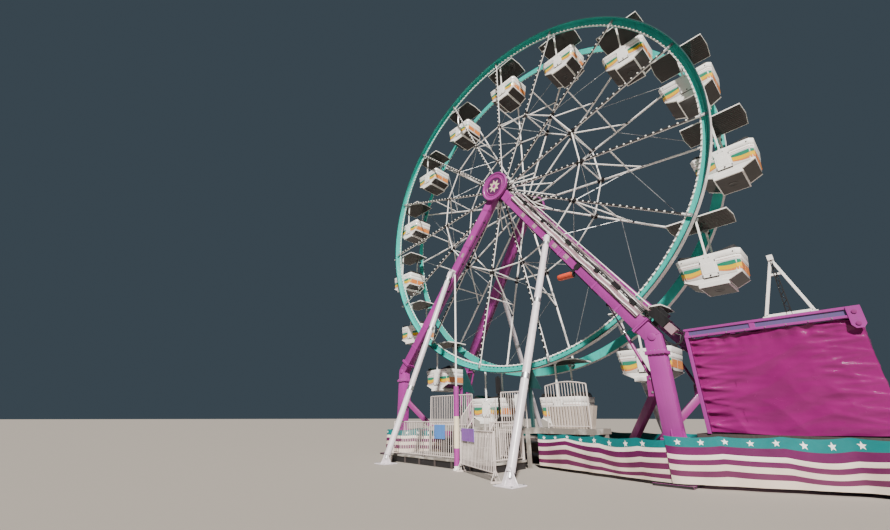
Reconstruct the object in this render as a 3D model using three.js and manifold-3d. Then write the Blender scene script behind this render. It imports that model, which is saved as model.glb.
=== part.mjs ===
// Trailer-mounted ferris wheel with fifteen swinging cabins, in millimetres, +Z up.
// X runs along the trailer and the wheel, Y from the loading side (-) to the far side (+).
// The numbers below are counted from the ground under the hub. The whole machine is then
// moved by ORIGIN_X, so that its origin lies under the middle of its length.
import * as THREE from 'three';
import { mergeVertices } from 'three/addons/utils/BufferGeometryUtils.js';
import Module from 'manifold-3d';

const wasm = await Module();
wasm.setup();

// Driving dimensions of the wheel
const ORIGIN_X = 320;          // middle of the machine's length from the hub
const HUB_Z = 11400;           // height of the wheel's axis
const SPOKES = 15;             // spokes, cabins and rim bays
const STEP = 360 / SPOKES;
const FIRST_ANGLE = 209;       // degrees, spoke of cabin 1
const RIM_IN = 8000;           // inner radius of the rim's web
const RIM_OUT = 8300;          // outer radius of the rim's flange
const RIM_SIDES = 60;
const PIVOT_R = 8180;          // radius of the cabin pins
const RIM_Y = 850;             // inner face of each rim's web from the mid plane
const WEB_T = 30;              // thickness of the rim's web and flange
const FLANGE_W = 230;          // how far the rim's flange stands out
const SPOKE_W = 80;
const RING_R = 3900;           // inner ring that ties the spokes
const CROSS_R = 5100;          // ties just inside the path of the cabins
const BAR_W = 60;              // ring, ties and diagonals
const ROUND = 24;              // sides of the shaft, bearings and hub
const SHAFT_R = 150;
const DISC_R = 500;
const HOUSING_R = 450;
const GAP = 0.3;               // between pieces that touch
const SPOKE_Y = RIM_Y + WEB_T + GAP + SPOKE_W / 2;
const DISC_Y = 945;            // outer face of the spoke discs

// Driving dimensions of the towers and the trailer
const LEG_X = 5600;            // tower columns from the hub along X
const LEG_TOP_Y = 1200;        // tower plane at the hub
const LEG_FOOT_Y = 2050;       // tower plane at the knee
const KNEE_Z = 3500;
const LEG_W = 430;             // leg width in the wheel's plane
const LEG_D = 330;             // leg depth across it
const DECK_TOP = 650;          // low deck under the wheel
const BEAM_TOP = 950;          // tower cross beams
const NECK_TOP = 1080;         // raised deck over the coupling end
const TRAILER_HALF = 1220;
const TRAILER_LEFT = -6900;
const TRAILER_RIGHT = 9630;
const NECK_X = 5950;
const LOADING_TOP = 1150;      // deck where riders step in
const QUEUE_TOP = 250;         // low platform in front of it
const SKIRT_LOW = 80;
const SKIRT_TOP = 1000;
const COVER_TOP = 3500;        // tarpaulin over the machinery

const PAINT = {
  pink: { color: 0xd27cc4, roughness: 0.45, metalness: 0.0 },
  teal: { color: 0x52bfae, roughness: 0.4, metalness: 0.0 },
  white: { color: 0xefeae6, roughness: 0.4, metalness: 0.0 },
  steel: { color: 0xb9bcc0, roughness: 0.4, metalness: 0.7 },
  dark: { color: 0x2c2a2c, roughness: 0.6, metalness: 0.0 },
  green: { color: 0x1d4a4a, roughness: 0.6, metalness: 0.0 },
  grey: { color: 0xa9a49c, roughness: 0.5, metalness: 0.2 },
  tarp: { color: 0xb13c96, roughness: 0.35, metalness: 0.0 },
  skirt: { color: 0xb45c9c, roughness: 0.8, metalness: 0.0 },
  orange: { color: 0xd0603c, roughness: 0.5, metalness: 0.0 },
};

const group = new THREE.Group();
const rad = THREE.MathUtils.degToRad;
const vec = (x, y, z) => new THREE.Vector3(x, y, z);
const Y_AXIS = vec(0, 1, 0);
const Z_AXIS = vec(0, 0, 1);
const spokeAngles = Array.from({ length: SPOKES }, (_, k) => FIRST_ANGLE - k * STEP);

// Solids: closed three.js geometries turned into manifolds, joined and cut
function solid(geometry) {
  const bare = geometry.clone();
  bare.deleteAttribute('normal');
  bare.deleteAttribute('uv');
  const merged = mergeVertices(bare, 0.01);
  return new wasm.Manifold(new wasm.Mesh({
    numProp: 3,
    vertProperties: new Float32Array(merged.attributes.position.array),
    triVerts: new Uint32Array(merged.index.array),
  }));
}

function join(solids) {
  return solids.reduce((sum, next) => sum.add(next));
}

function surface(body) {
  const mesh = body.getMesh();
  const geometry = new THREE.BufferGeometry();
  geometry.setAttribute('position', new THREE.BufferAttribute(new Float32Array(mesh.vertProperties), 3));
  geometry.setIndex(new THREE.BufferAttribute(new Uint32Array(mesh.triVerts), 1));
  return geometry;
}

function place(name, geometry, paint) {
  const node = new THREE.Mesh(geometry, new THREE.MeshStandardMaterial(PAINT[paint]));
  node.name = name;
  group.add(node);
  return node;
}

function add(name, body, paint) {
  return place(name, surface(body), paint);
}

// A box given by two opposite corners
function box(a, b) {
  const low = vec(...a).min(vec(...b));
  const high = vec(...a).max(vec(...b));
  const size = high.clone().sub(low);
  const g = new THREE.BoxGeometry(size.x, size.y, size.z);
  g.translate((low.x + high.x) / 2, (low.y + high.y) / 2, (low.z + high.z) / 2);
  return solid(g);
}

// A straight bar between two points: width lies along `side`, depth across it
function bar(from, to, width, depth, side) {
  const along = to.clone().sub(from);
  const length = along.length();
  const w = along.normalize();
  const v = w.clone().cross(side).normalize();
  const u = v.clone().cross(w).normalize();
  const g = new THREE.BoxGeometry(width, depth, length);
  const middle = from.clone().add(to).multiplyScalar(0.5);
  g.applyMatrix4(new THREE.Matrix4().makeBasis(u, v, w).setPosition(middle));
  return solid(g);
}

// A round tube or rod between two points
function rod(from, to, radius, sides) {
  const along = to.clone().sub(from);
  const g = new THREE.CylinderGeometry(radius, radius, along.length(), sides);
  g.applyQuaternion(new THREE.Quaternion().setFromUnitVectors(Y_AXIS, along.normalize()));
  const middle = from.clone().add(to).multiplyScalar(0.5);
  g.translate(middle.x, middle.y, middle.z);
  return solid(g);
}

// A body of revolution about the wheel's axis, from a closed profile of [radius, y] points
function turned(profile, sides, start = 0) {
  const points = [...profile, profile[0]].map(([r, y]) => new THREE.Vector2(r, y));
  const body = solid(new THREE.LatheGeometry(points, sides, start));
  const outward = body.volume() > 0
    ? body : solid(new THREE.LatheGeometry(points.reverse(), sides, start));
  return outward.translate([0, 0, HUB_Z]);
}

// The same, mirrored to the near side (-1) or left on the far side (+1)
function turnedSide(side, profile, sides, start = 0) {
  return turned(profile.map(([r, y]) => [r, side * y]), sides, start);
}

// A point on the wheel at a radius, an angle in degrees and a depth y
function onWheel(radius, angle, y) {
  return vec(radius * Math.cos(rad(angle)), y, HUB_Z + radius * Math.sin(rad(angle)));
}

// A flat outline in the XZ plane, given thickness from y0 to y1
function extrudeXZ(points, y0, y1) {
  const shape = new THREE.Shape(points.map(([x, z]) => new THREE.Vector2(x, z)));
  const g = new THREE.ExtrudeGeometry(shape, { depth: y1 - y0, bevelEnabled: false });
  g.rotateX(Math.PI / 2);
  g.translate(0, y1, 0);
  return g;
}

function slabXZ(points, y0, y1) {
  return solid(extrudeXZ(points, y0, y1));
}

// A flat outline in the XY plane, given height from z0 to z1
function slabXY(points, z0, z1) {
  const shape = new THREE.Shape(points.map(([x, y]) => new THREE.Vector2(x, y)));
  const g = new THREE.ExtrudeGeometry(shape, { depth: z1 - z0, bevelEnabled: false });
  g.translate(0, 0, z0);
  return solid(g);
}

// A path in the XY plane made into a wall of even thickness, mitred at its bends
function wall(path, thickness, z0, z1) {
  const points = path.map(([x, y]) => new THREE.Vector2(x, y));
  const offset = (side) => points.map((p, i) => {
    const before = i > 0 ? p.clone().sub(points[i - 1]).normalize() : null;
    const after = i < points.length - 1 ? points[i + 1].clone().sub(p).normalize() : null;
    const a = before ?? after;
    const b = after ?? before;
    const across = vec(-(a.y + b.y), a.x + b.x, 0).normalize();
    const stretch = 1 / (across.x * -a.y + across.y * a.x);
    return [p.x + across.x * side * stretch, p.y + across.y * side * stretch];
  });
  return slabXY([...offset(thickness / 2), ...offset(-thickness / 2).reverse()], z0, z1);
}

// Rims: a web that carries the cabin pins and a flange that stands outwards
function rim(side) {
  const web = RIM_Y + WEB_T;
  const outer = RIM_Y + FLANGE_W;
  return turnedSide(side, [
    [RIM_IN, web], [RIM_IN, RIM_Y], [RIM_OUT, RIM_Y],
    [RIM_OUT, outer], [RIM_OUT - WEB_T, outer], [RIM_OUT - WEB_T, web],
  ], RIM_SIDES);
}

add('near_rim', rim(-1), 'white');
add('far_rim', rim(1), 'white');

// Axle: a barrel between the spoke discs and a shaft through both bearings
const SHAFT_END = 1360;
add('axle', turned([
  [0, -SHAFT_END], [SHAFT_R, -SHAFT_END], [SHAFT_R, -RIM_Y], [300, -RIM_Y],
  [300, RIM_Y], [SHAFT_R, RIM_Y], [SHAFT_R, SHAFT_END], [0, SHAFT_END],
], ROUND), 'steel');

// A round hole whose flats meet the corners of the shaft, a small gap away
const HALF_TURN = Math.PI / ROUND;
const BORE = (SHAFT_R + GAP) / Math.cos(HALF_TURN);

// Spoke frames: hub disc, spokes that end on the rim's web, and the inner ring
function spokeFrame(side) {
  const y = side * SPOKE_Y;
  const disc = turnedSide(side, [
    [BORE, RIM_Y + GAP], [DISC_R, RIM_Y + GAP], [DISC_R, DISC_Y], [BORE, DISC_Y],
  ], ROUND, HALF_TURN);
  const spokes = spokeAngles.map((a) => (
    bar(onWheel(350, a, y), onWheel(8200, a, y), SPOKE_W, SPOKE_W, Y_AXIS)));
  const ring = spokeAngles.map((a) => (
    bar(onWheel(RING_R, a, y), onWheel(RING_R, a - STEP, y), BAR_W, BAR_W, Y_AXIS)));
  return [disc, ...spokes, ...ring];
}

add('near_spokes', join(spokeFrame(-1)), 'white');

// The far frame also carries the ties and diagonals that run across to the near frame
function crossBracing() {
  const nearFace = -(SPOKE_Y - SPOKE_W / 2) + GAP;
  const discFace = -RIM_Y + GAP;
  const keep = box([-9000, discFace, 0], [9000, SPOKE_Y + 10, 2 * HUB_Z]);
  return spokeAngles.flatMap((a) => [
    bar(onWheel(RING_R, a, SPOKE_Y), onWheel(RING_R, a, nearFace), BAR_W, BAR_W, Z_AXIS),
    bar(onWheel(CROSS_R, a, SPOKE_Y), onWheel(CROSS_R, a, nearFace), BAR_W, BAR_W, Z_AXIS),
    bar(onWheel(RING_R, a, -800), onWheel(5600, a, SPOKE_Y), BAR_W, BAR_W, Y_AXIS),
    bar(onWheel(400, a, -900), onWheel(1750, a, SPOKE_Y), BAR_W, BAR_W, Y_AXIS).intersect(keep),
  ]);
}

add('far_spokes', join([...spokeFrame(1), ...crossBracing()]), 'white');

// Cabins: canopy, pin, hanger posts and an open tub with seats, about their pin
function cabin() {
  const shell = [
    [-840, -1220], [-730, -1930], [-375, -2100], [-375, -2215],
    [375, -2215], [375, -2100], [730, -1930], [840, -1220],
  ];
  const room = [
    [-785, -1150], [-695, -1750], [-345, -1750], [-345, -2180],
    [345, -2180], [345, -1750], [695, -1750], [785, -1150],
  ];
  const plan = [
    [-840, -500], [-740, -600], [740, -600], [840, -500],
    [840, 500], [740, 600], [-740, 600], [-840, 500],
  ];
  const outside = slabXZ(shell, -600, 600).intersect(slabXY(plan, -2300, -1200));
  const inside = slabXZ(room, -560, 560);
  const canopy = [[-890, 0], [-840, -620], [840, -620], [890, 0], [840, 620], [-840, 620]];
  const pieces = [
    outside.subtract(inside),
    slabXY(canopy, 20, 80),
    rod(vec(0, -RIM_Y + 0.5, 0), vec(0, RIM_Y - 0.5, 0), 40, 6),
  ];
  for (const side of [-1, 1]) {
    pieces.push(box([-30, side * 530, -1240], [30, side * 590, 30]));
    pieces.push(slabXZ([
      [side * 832, -1250], [side * 772, -1250], [side * 720, -1060], [side * 770, -1060],
    ], -430, 430));
  }
  return join(pieces);
}

const cabinSurface = surface(cabin());
spokeAngles.forEach((angle, k) => {
  const node = place(`cabin_${String(k + 1).padStart(2, '0')}`, cabinSurface, 'white');
  node.position.copy(onWheel(PIVOT_R, angle, 0));
});

// Towers: each leg runs down from its bearing, leans outwards and bends upright at the knee
function towerY(z) {
  const down = (HUB_Z - z) / (HUB_Z - KNEE_Z);
  return z < KNEE_Z - LEG_W ? LEG_FOOT_Y : LEG_TOP_Y + (LEG_FOOT_Y - LEG_TOP_Y) * down;
}

// An outline in the XZ plane that leans with the tower, y0 to y1 outside its mid plane
function onTower(points, sx, sy, y0, y1) {
  const low = Math.min(sy * y0, sy * y1);
  const high = Math.max(sy * y0, sy * y1);
  const g = extrudeXZ(points.map(([x, z]) => [sx * x, z]), low, high);
  const p = g.attributes.position;
  for (let i = 0; i < p.count; i += 1) {
    p.setY(i, p.getY(i) + sy * towerY(p.getZ(i)));
  }
  return solid(g);
}

// A point of a leg's side view, along it from the hub and across it outwards
function legPoint(along, across) {
  const length = Math.hypot(LEG_X, HUB_Z - KNEE_Z);
  const dx = LEG_X / length;
  const dz = (HUB_Z - KNEE_Z) / length;
  return [along * dx + across * dz, HUB_Z - along * dz + across * dx];
}

function legPatch(from, to, half) {
  return [legPoint(from, -half), legPoint(to, -half), legPoint(to, half), legPoint(from, half)];
}

function tower(sx, sy) {
  const half = LEG_W / 2;
  const mitre = half * Math.tan(Math.atan2(LEG_X, HUB_Z - KNEE_Z) / 2);
  const foot = BEAM_TOP + GAP;
  const outline = [
    [LEG_X - half, foot], [LEG_X + half, foot], [LEG_X + half, KNEE_Z + mitre],
    legPoint(0, half), legPoint(0, -half), [LEG_X - half, KNEE_Z - mitre],
  ];
  const hubSpace = turnedSide(sy, [
    [0, 900], [HOUSING_R + GAP, 900], [HOUSING_R + GAP, 1600], [0, 1600],
  ], ROUND, HALF_TURN);
  const flange = (z0, z1, reach) => box(
    [sx * (LEG_X - half - reach), sy * (LEG_FOOT_Y - LEG_D / 2 - reach), z0],
    [sx * (LEG_X + half + reach), sy * (LEG_FOOT_Y + LEG_D / 2 + reach), z1]);
  return join([
    onTower(outline, sx, sy, -LEG_D / 2, LEG_D / 2),
    flange(foot, foot + 40, 70),
    flange(3030, 3130, 45),
  ]).subtract(hubSpace);
}

// Cable ladder along the upper edge of the near right leg
const LADDER_W = 260;
function cableLadder() {
  const low = LEG_W / 2 - 10;
  const high = LEG_W / 2 + LADDER_W;
  return onTower([
    legPoint(1300, low), legPoint(8000, low), legPoint(8000, high), legPoint(1300, high),
  ], 1, -1, 45, LEG_D / 2);
}

const SIDES_X = { left: -1, right: 1 };
const SIDES_Y = { near: -1, far: 1 };
for (const [depth, sy] of Object.entries(SIDES_Y)) {
  for (const [hand, sx] of Object.entries(SIDES_X)) {
    const leg = tower(sx, sy);
    const laddered = sx > 0 && sy < 0;
    add(`tower_${depth}_${hand}`, laddered ? leg.add(cableLadder()) : leg, 'pink');
  }
}

// Bearings carry the shaft between the legs, and a round cover closes each of them
for (const [depth, sy] of Object.entries(SIDES_Y)) {
  add(`bearing_${depth}`, turnedSide(sy, [
    [BORE, 1030], [HOUSING_R, 1030], [HOUSING_R, 1370], [BORE, 1370],
  ], ROUND, HALF_TURN), 'dark');
  add(`hub_cover_${depth}`, turnedSide(sy, [
    [0, 1370 + GAP], [400, 1370 + GAP], [400, 1450], [700, 1450],
    [700, 1580], [600, 1580], [580, 1560], [0, 1560],
  ], ROUND), 'pink');
}

// Knee braces: a box brace from each column down to the trailer, and a slender strut
// from the same bracket up to the leg
function kneeBrace(sx, sy) {
  const columnFace = LEG_X - LEG_W / 2 - GAP;
  const brace = bar(
    vec(sx * 5500, sy * LEG_FOOT_Y, 2250), vec(sx * 4000, sy * 1060, 560), 220, 150, Z_AXIS);
  const keep = box([0, 0, DECK_TOP + GAP], [sx * columnFace, sy * 3000, 4000]);
  const foot = box(
    [sx * 3850, sy * 960, DECK_TOP + GAP], [sx * 4300, sy * 1200, DECK_TOP + 30]);
  const bracket = box(
    [sx * 5300, sy * 1960, 2000], [sx * columnFace, sy * 2140, 2500]);
  const [topX, topZ] = legPoint(8050, -LEG_W / 2);
  const strut = rod(
    vec(sx * 5340, sy * LEG_FOOT_Y, 2420),
    vec(sx * (topX + 60), sy * towerY(topZ + 90), topZ + 90), 45, 8);
  const cutLeg = onTower([
    legPoint(400, -LEG_W / 2 - GAP), legPoint(400, 900), legPoint(9000, 900), legPoint(9000, -LEG_W / 2 - GAP),
  ], sx, sy, -400, 400);
  return join([brace.intersect(keep), foot, bracket, strut.subtract(cutLeg)]);
}

for (const [depth, sy] of Object.entries(SIDES_Y)) {
  for (const [hand, sx] of Object.entries(SIDES_X)) {
    add(`knee_brace_${depth}_${hand}`, kneeBrace(sx, sy), 'pink');
  }
}

// Outriggers: long tubes from brackets on the legs' outer faces to plates on the ground
const OUTRIGGER_FEET = { left: [2700, 4900], right: [3000, 5450] };
function outrigger(sx, sy, [footX, footY]) {
  const seat = LEG_D / 2 + GAP;
  const bracket = onTower(legPatch(4340, 4660, 110), sx, sy, seat, seat + 150);
  const [topX, topZ] = legPoint(4500, 0);
  const top = vec(sx * topX, sy * (towerY(topZ) + seat + 130), topZ);
  const tube = rod(top, vec(sx * footX, sy * footY, 150), 110, 12);
  const plate = box(
    [sx * footX - 280, sy * footY - 280, 0], [sx * footX + 280, sy * footY + 280, 30]);
  const rib = slabXZ([
    [sx * footX - 250, 20], [sx * footX + 250, 20], [sx * footX + 60, 420], [sx * footX - 60, 420],
  ], sy * footY - 15, sy * footY + 15);
  const cross = box([sx * footX - 20, sy * footY - 220, 20], [sx * footX + 20, sy * footY + 220, 260]);
  return join([bracket, tube, plate, rib, cross]);
}

for (const [depth, sy] of Object.entries(SIDES_Y)) {
  for (const [hand, sx] of Object.entries(SIDES_X)) {
    add(`outrigger_${depth}_${hand}`, outrigger(sx, sy, OUTRIGGER_FEET[hand]), 'steel');
  }
}

// Trailer: low deck, raised neck at the coupling end, and landing legs
function trailer() {
  const right = NECK_X;
  const pieces = [
    box([TRAILER_LEFT, -TRAILER_HALF, 620], [right, TRAILER_HALF, DECK_TOP]),
    box([right - 80, -TRAILER_HALF, 1050], [TRAILER_RIGHT, TRAILER_HALF, NECK_TOP]),
    box([right - 80, -TRAILER_HALF, 350], [right + 60, TRAILER_HALF, 1060]),
  ];
  for (const side of [-1, 1]) {
    pieces.push(box([TRAILER_LEFT, side * 520, 350], [right, side * 680, 630]));
    pieces.push(box([TRAILER_LEFT, side * 1140, 450], [right, side * TRAILER_HALF, 630]));
    pieces.push(box([right, side * 520, 780], [TRAILER_RIGHT, side * 680, 1060]));
    pieces.push(box([right, side * 1140, 880], [TRAILER_RIGHT, side * TRAILER_HALF, 1060]));
    pieces.push(box([-6600, side * 530, 20], [-6450, side * 670, 400]));
    pieces.push(box([-6680, side * 450, 0], [-6370, side * 750, 30]));
    pieces.push(box([8800, side * 530, 20], [8950, side * 670, 800]));
    pieces.push(box([8720, side * 450, 0], [9030, side * 750, 30]));
  }
  for (const x of [TRAILER_LEFT + 60, -2800, 2800]) {
    pieces.push(box([x - 50, -1180, 470], [x + 50, 1180, 640]));
  }
  pieces.push(box([TRAILER_RIGHT - 110, -1180, 900], [TRAILER_RIGHT - 10, 1180, 1070]));
  return join(pieces);
}

add('trailer_frame', trailer(), 'grey');

// Cross beams under the columns, with a jack and a pad at each end
const JACK_Y = 2460;
const SKIRT_Y = 2800;
const SKIRT_T = 20;
for (const [hand, sx] of Object.entries(SIDES_X)) {
  const x = sx * LEG_X;
  const hanger = SKIRT_Y - SKIRT_T / 2 - GAP;
  const pieces = [
    box([x - 150, -2560, DECK_TOP + GAP], [x + 150, 2560, BEAM_TOP]),
    box([x - 40, -hanger, 840], [x + 40, hanger, 920]),
  ];
  for (const sy of [-1, 1]) {
    pieces.push(box([x - 285, sy * 1815, 910], [x + 285, sy * 2285, BEAM_TOP]));
    pieces.push(box([x - 80, sy * (JACK_Y - 80), 50], [x + 80, sy * (JACK_Y + 80), 700]));
    pieces.push(box([x - 430, sy * (JACK_Y - 430), 0], [x + 430, sy * (JACK_Y + 430), 60]));
  }
  add(`cross_beam_${hand}`, join(pieces), 'pink');
}

// Skirts: striped fabric hung round the base, bowed out round the jacks
const SKIRT_SIDE = 1360;
const SKIRT_LEFT = -6960;
const SKIRT_RIGHT = 9668.9;
const apex = (sx) => [[sx * (LEG_X - 150), SKIRT_Y], [sx * (LEG_X + 150), SKIRT_Y]];
function skirt(path, sy) {
  return wall(path.map(([x, y]) => [x, sy * y]), SKIRT_T, SKIRT_LOW, SKIRT_TOP);
}
add('skirt_near_left', skirt([
  [SKIRT_LEFT, -1200], [SKIRT_LEFT, SKIRT_SIDE], ...apex(-1).reverse(), [-4200, 1600], [-3460, 1600],
], -1), 'skirt');
add('skirt_near_right', skirt([
  [1520, 2030], ...apex(1), [8700, SKIRT_SIDE], [SKIRT_RIGHT, SKIRT_SIDE], [SKIRT_RIGHT, -1200],
], -1), 'skirt');
add('skirt_far', skirt([
  [SKIRT_LEFT, SKIRT_SIDE], ...apex(-1).reverse(), [-4200, 1600],
  [4200, 1600], ...apex(1), [8700, SKIRT_SIDE], [SKIRT_RIGHT, SKIRT_SIDE],
], 1), 'skirt');

// Tarpaulin over the machinery on the neck. Its sides reach on past the cabins' path.
const COVER_LEFT = 6200;
const COVER_BODY = 6950;
const COVER_RIGHT = 9580;
const COVER_HALF = 1220;
function cover() {
  const low = NECK_TOP + GAP;
  return join([
    box([COVER_BODY, -COVER_HALF, low], [COVER_RIGHT, COVER_HALF, COVER_TOP]),
    box([COVER_LEFT, -COVER_HALF, low], [COVER_BODY + 50, -COVER_HALF + 60, COVER_TOP]),
    box([COVER_LEFT, COVER_HALF - 60, low], [COVER_BODY + 50, COVER_HALF, COVER_TOP]),
  ]);
}
add('machinery_cover', cover(), 'tarp');

// Frame of rails that carries the tarpaulin's top edge, with posts at its open end
const RAIL_LOW = COVER_TOP + GAP;
const RAIL_TOP = 3750;
const RAIL_END = 9600;
for (const [depth, sy] of Object.entries(SIDES_Y)) {
  const outer = COVER_HALF + 30;
  const inner = COVER_HALF - 70;
  const pieces = [
    box([COVER_LEFT - 80, sy * inner, RAIL_LOW], [RAIL_END, sy * outer, RAIL_TOP]),
    box([COVER_LEFT - 80, sy * inner, NECK_TOP + GAP], [COVER_LEFT - GAP, sy * outer, RAIL_TOP]),
  ];
  for (const x of [COVER_BODY + 100, COVER_RIGHT - 60]) {
    pieces.push(box([x, sy * GAP, RAIL_LOW], [x + 80, sy * outer, 3650]));
  }
  add(`cover_rail_${depth}`, join(pieces), 'pink');
}

// A-frame mast that stands on the near rail
const MAST_Y = -1180;
const MAST_TOP = 5250;
function mast() {
  const seat = RAIL_TOP + GAP;
  const top = vec(8430, MAST_Y, MAST_TOP);
  const pieces = [
    bar(vec(7990, MAST_Y, seat + 40), top, 70, 70, Y_AXIS),
    bar(vec(8870, MAST_Y, seat + 40), top, 70, 70, Y_AXIS),
    bar(vec(7990, MAST_Y, seat + 40), vec(8870, MAST_Y, seat + 40), 70, 70, Y_AXIS),
    bar(vec(8430, MAST_Y, seat + 20), vec(8430, MAST_Y, MAST_TOP), 60, 60, Y_AXIS),
    bar(vec(8310, MAST_Y, 4830), vec(8550, MAST_Y, 4830), 60, 60, Y_AXIS),
    box([7920, MAST_Y - 60, seat], [8060, MAST_Y + 60, seat + 30]),
    box([8800, MAST_Y - 60, seat], [8940, MAST_Y + 60, seat + 30]),
    box([8370, MAST_Y - 60, MAST_TOP - 80], [8490, MAST_Y + 60, MAST_TOP + 60]),
  ];
  return join(pieces);
}
add('a_frame_mast', mast(), 'white');

// Loading deck beside the wheel, on blocks on the trailer and legs on the ground
const LOADING_IN = 750;
const LOADING_OUT = 2400;
const LOADING_NARROW = 1950;
function loadingDeck() {
  const outline = [
    [-3400, -LOADING_IN], [3400, -LOADING_IN], [3400, -LOADING_NARROW],
    [1450, -LOADING_NARROW], [1450, -LOADING_OUT], [-3400, -LOADING_OUT],
  ];
  const pieces = [slabXY(outline, LOADING_TOP - 160, LOADING_TOP)];
  for (const x of [-3340, -1740, -140, 1390]) {
    pieces.push(box([x - 50, -LOADING_OUT + 10, 0], [x + 50, -LOADING_OUT + 110, 1000]));
    pieces.push(box([x - 50, -1130, DECK_TOP + GAP], [x + 50, -930, 1000]));
  }
  for (const x of [2400, 3340]) {
    pieces.push(box([x - 50, -LOADING_NARROW + 10, 0], [x + 50, -LOADING_NARROW + 110, 1000]));
    pieces.push(box([x - 50, -1130, DECK_TOP + GAP], [x + 50, -930, 1000]));
  }
  return join(pieces);
}
add('loading_deck', loadingDeck(), 'grey');

const QUEUE_BACK = 2500;
const QUEUE_FRONT = 4200;
add('queue_platform', box([-3400, -QUEUE_FRONT, 0], [1400, -QUEUE_BACK, QUEUE_TOP]), 'grey');

function steps() {
  const rise = (LOADING_TOP - QUEUE_TOP) / 3;
  const back = -LOADING_OUT - GAP;
  return join([
    box([-900, -3100, QUEUE_TOP + GAP], [300, back, QUEUE_TOP + rise]),
    box([-900, -2780, QUEUE_TOP + GAP], [300, back, QUEUE_TOP + 2 * rise]),
    box([-900, back - 40, QUEUE_TOP + GAP], [300, back, LOADING_TOP - 20]),
  ]);
}
add('steps', steps(), 'grey');

// Fence panels: two rails and a row of upright bars between two posts
function fence(from, to, low, high, spacing) {
  const a = vec(from[0], from[1], 0);
  const b = vec(to[0], to[1], 0);
  const side = b.clone().sub(a).normalize().cross(Z_AXIS);
  const at = (t, z) => a.clone().lerp(b, t).setZ(z);
  const length = a.distanceTo(b);
  const bars = Math.round(length / spacing);
  const pieces = [
    bar(at(0, low + 60), at(1, low + 60), 30, 30, side),
    bar(at(0, high - 20), at(1, high - 20), 40, 40, side),
    bar(at(0, low), at(0, high), 44, 44, side),
    bar(at(1, low), at(1, high), 44, 44, side),
  ];
  for (let i = 1; i < bars; i += 1) {
    pieces.push(bar(at(i / bars, low + 50), at(i / bars, high - 10), 16, 16, side));
  }
  return join(pieces);
}

const BAR_STEP = 240;
const DECK_FENCE_Y = -LOADING_OUT + 60;
const deckLow = LOADING_TOP + GAP;
add('deck_fence_left', fence([-3330, DECK_FENCE_Y], [-1000, DECK_FENCE_Y], deckLow, 2300, BAR_STEP), 'steel');
add('deck_fence_middle', fence([380, DECK_FENCE_Y], [1400, DECK_FENCE_Y], deckLow, 2300, BAR_STEP), 'steel');
add('deck_fence_right', fence(
  [1900, -LOADING_NARROW + 60], [3340, -LOADING_NARROW + 60], deckLow, 2450, BAR_STEP), 'steel');
const queueLow = QUEUE_TOP + GAP;
add('queue_fence', join([
  fence([-3340, -4140], [-1640, -4140], queueLow, 1350, BAR_STEP),
  fence([-1640, -4140], [0, -4140], queueLow, 1350, BAR_STEP),
]), 'steel');

// Crowd barrier that stands on its own flat feet
function barrier(from, to) {
  const panel = fence(from, to, 150, 1150, BAR_STEP);
  const along = vec(to[0] - from[0], to[1] - from[1], 0).normalize();
  const across = along.clone().cross(Z_AXIS);
  const feet = [from, to].map(([x, y]) => {
    const p = vec(x, y, 20);
    return join([
      bar(p.clone().addScaledVector(across, 150), p.clone().addScaledVector(across, -150), 40, 40, Z_AXIS),
      bar(vec(x, y, 10), vec(x, y, 200), 44, 44, across),
    ]);
  });
  return join([panel, ...feet]);
}
add('crowd_barrier', barrier([420, -4420], [2500, -5350]), 'steel');

// Control desk on the loading deck
add('control_desk', slabXZ([
  [1950, deckLow], [3250, deckLow], [3400, 1800], [1800, 1800],
], -1700, -1450), 'grey');

// Guards beside the rim where it passes the loading deck
function rimGuard(sx, x) {
  const post = box([sx * x, -1560, deckLow], [sx * (x + 100), -1460, 2700]);
  const panel = slabXZ([
    [sx * x, 3400], [sx * (x + 100), 3400], [sx * (x + 100), 2450], [sx * (x - 500), 2380],
  ], -1530, -1490);
  return join([post, panel]);
}
add('rim_guard_left', rimGuard(-1, 2150), 'green');
add('rim_guard_right', slabXZ([
  [1000, 3300], [1080, 3300], [1500, 2380], [1000, 2450],
], -1530, -1490).add(box([1000, -1560, deckLow], [1100, -1460, 2700])), 'green');

// Post with a horn beside the wheel, and the tall pole at the queue
add('horn_post', join([
  box([-430, -1530, deckLow], [-370, -1470, 2950]),
  box([-470, -1570, 2300], [-330, -1430, 2900]),
]), 'dark');
const POLE_BASE = 120;
const poleAt = (z) => vec(150, -QUEUE_FRONT - POLE_BASE - GAP, z);
add('pole', join([
  rod(poleAt(0), poleAt(40), POLE_BASE, 12),
  rod(poleAt(20), poleAt(2400), 85, 12),
  rod(poleAt(2380), poleAt(6250), 30, 8),
]), 'steel');

// Drum lamp that lies level under the near right leg, on a bracket on the leg's outer face
const DRUM_Z = 6000;
function drumLamp() {
  const seat = LEG_D / 2 + GAP;
  const y = -(towerY(DRUM_Z) + 100);
  return join([
    onTower(legPatch(6240, 6440, 120), 1, -1, seat, seat + 30),
    onTower([legPoint(6300, 60), legPoint(6300, -420), legPoint(6380, -420), legPoint(6380, 60)],
      1, -1, seat, seat + 30),
    rod(vec(2860, y, DRUM_Z), vec(3450, y, DRUM_Z), 110, 12),
  ]);
}
add('drum_lamp', drumLamp(), 'orange');

group.position.x = -ORIGIN_X;

export default group;
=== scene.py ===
"""Looks of a trailer-mounted ferris wheel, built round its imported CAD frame.

Lengths are in metres. X runs along the trailer, Y from the loading side (-) to the far side (+).
Below, sx is -1 on the left and 1 on the right, sy is -1 near and 1 far, and side is either.
"""
import math

import bmesh
import bpy
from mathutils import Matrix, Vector, noise


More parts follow.
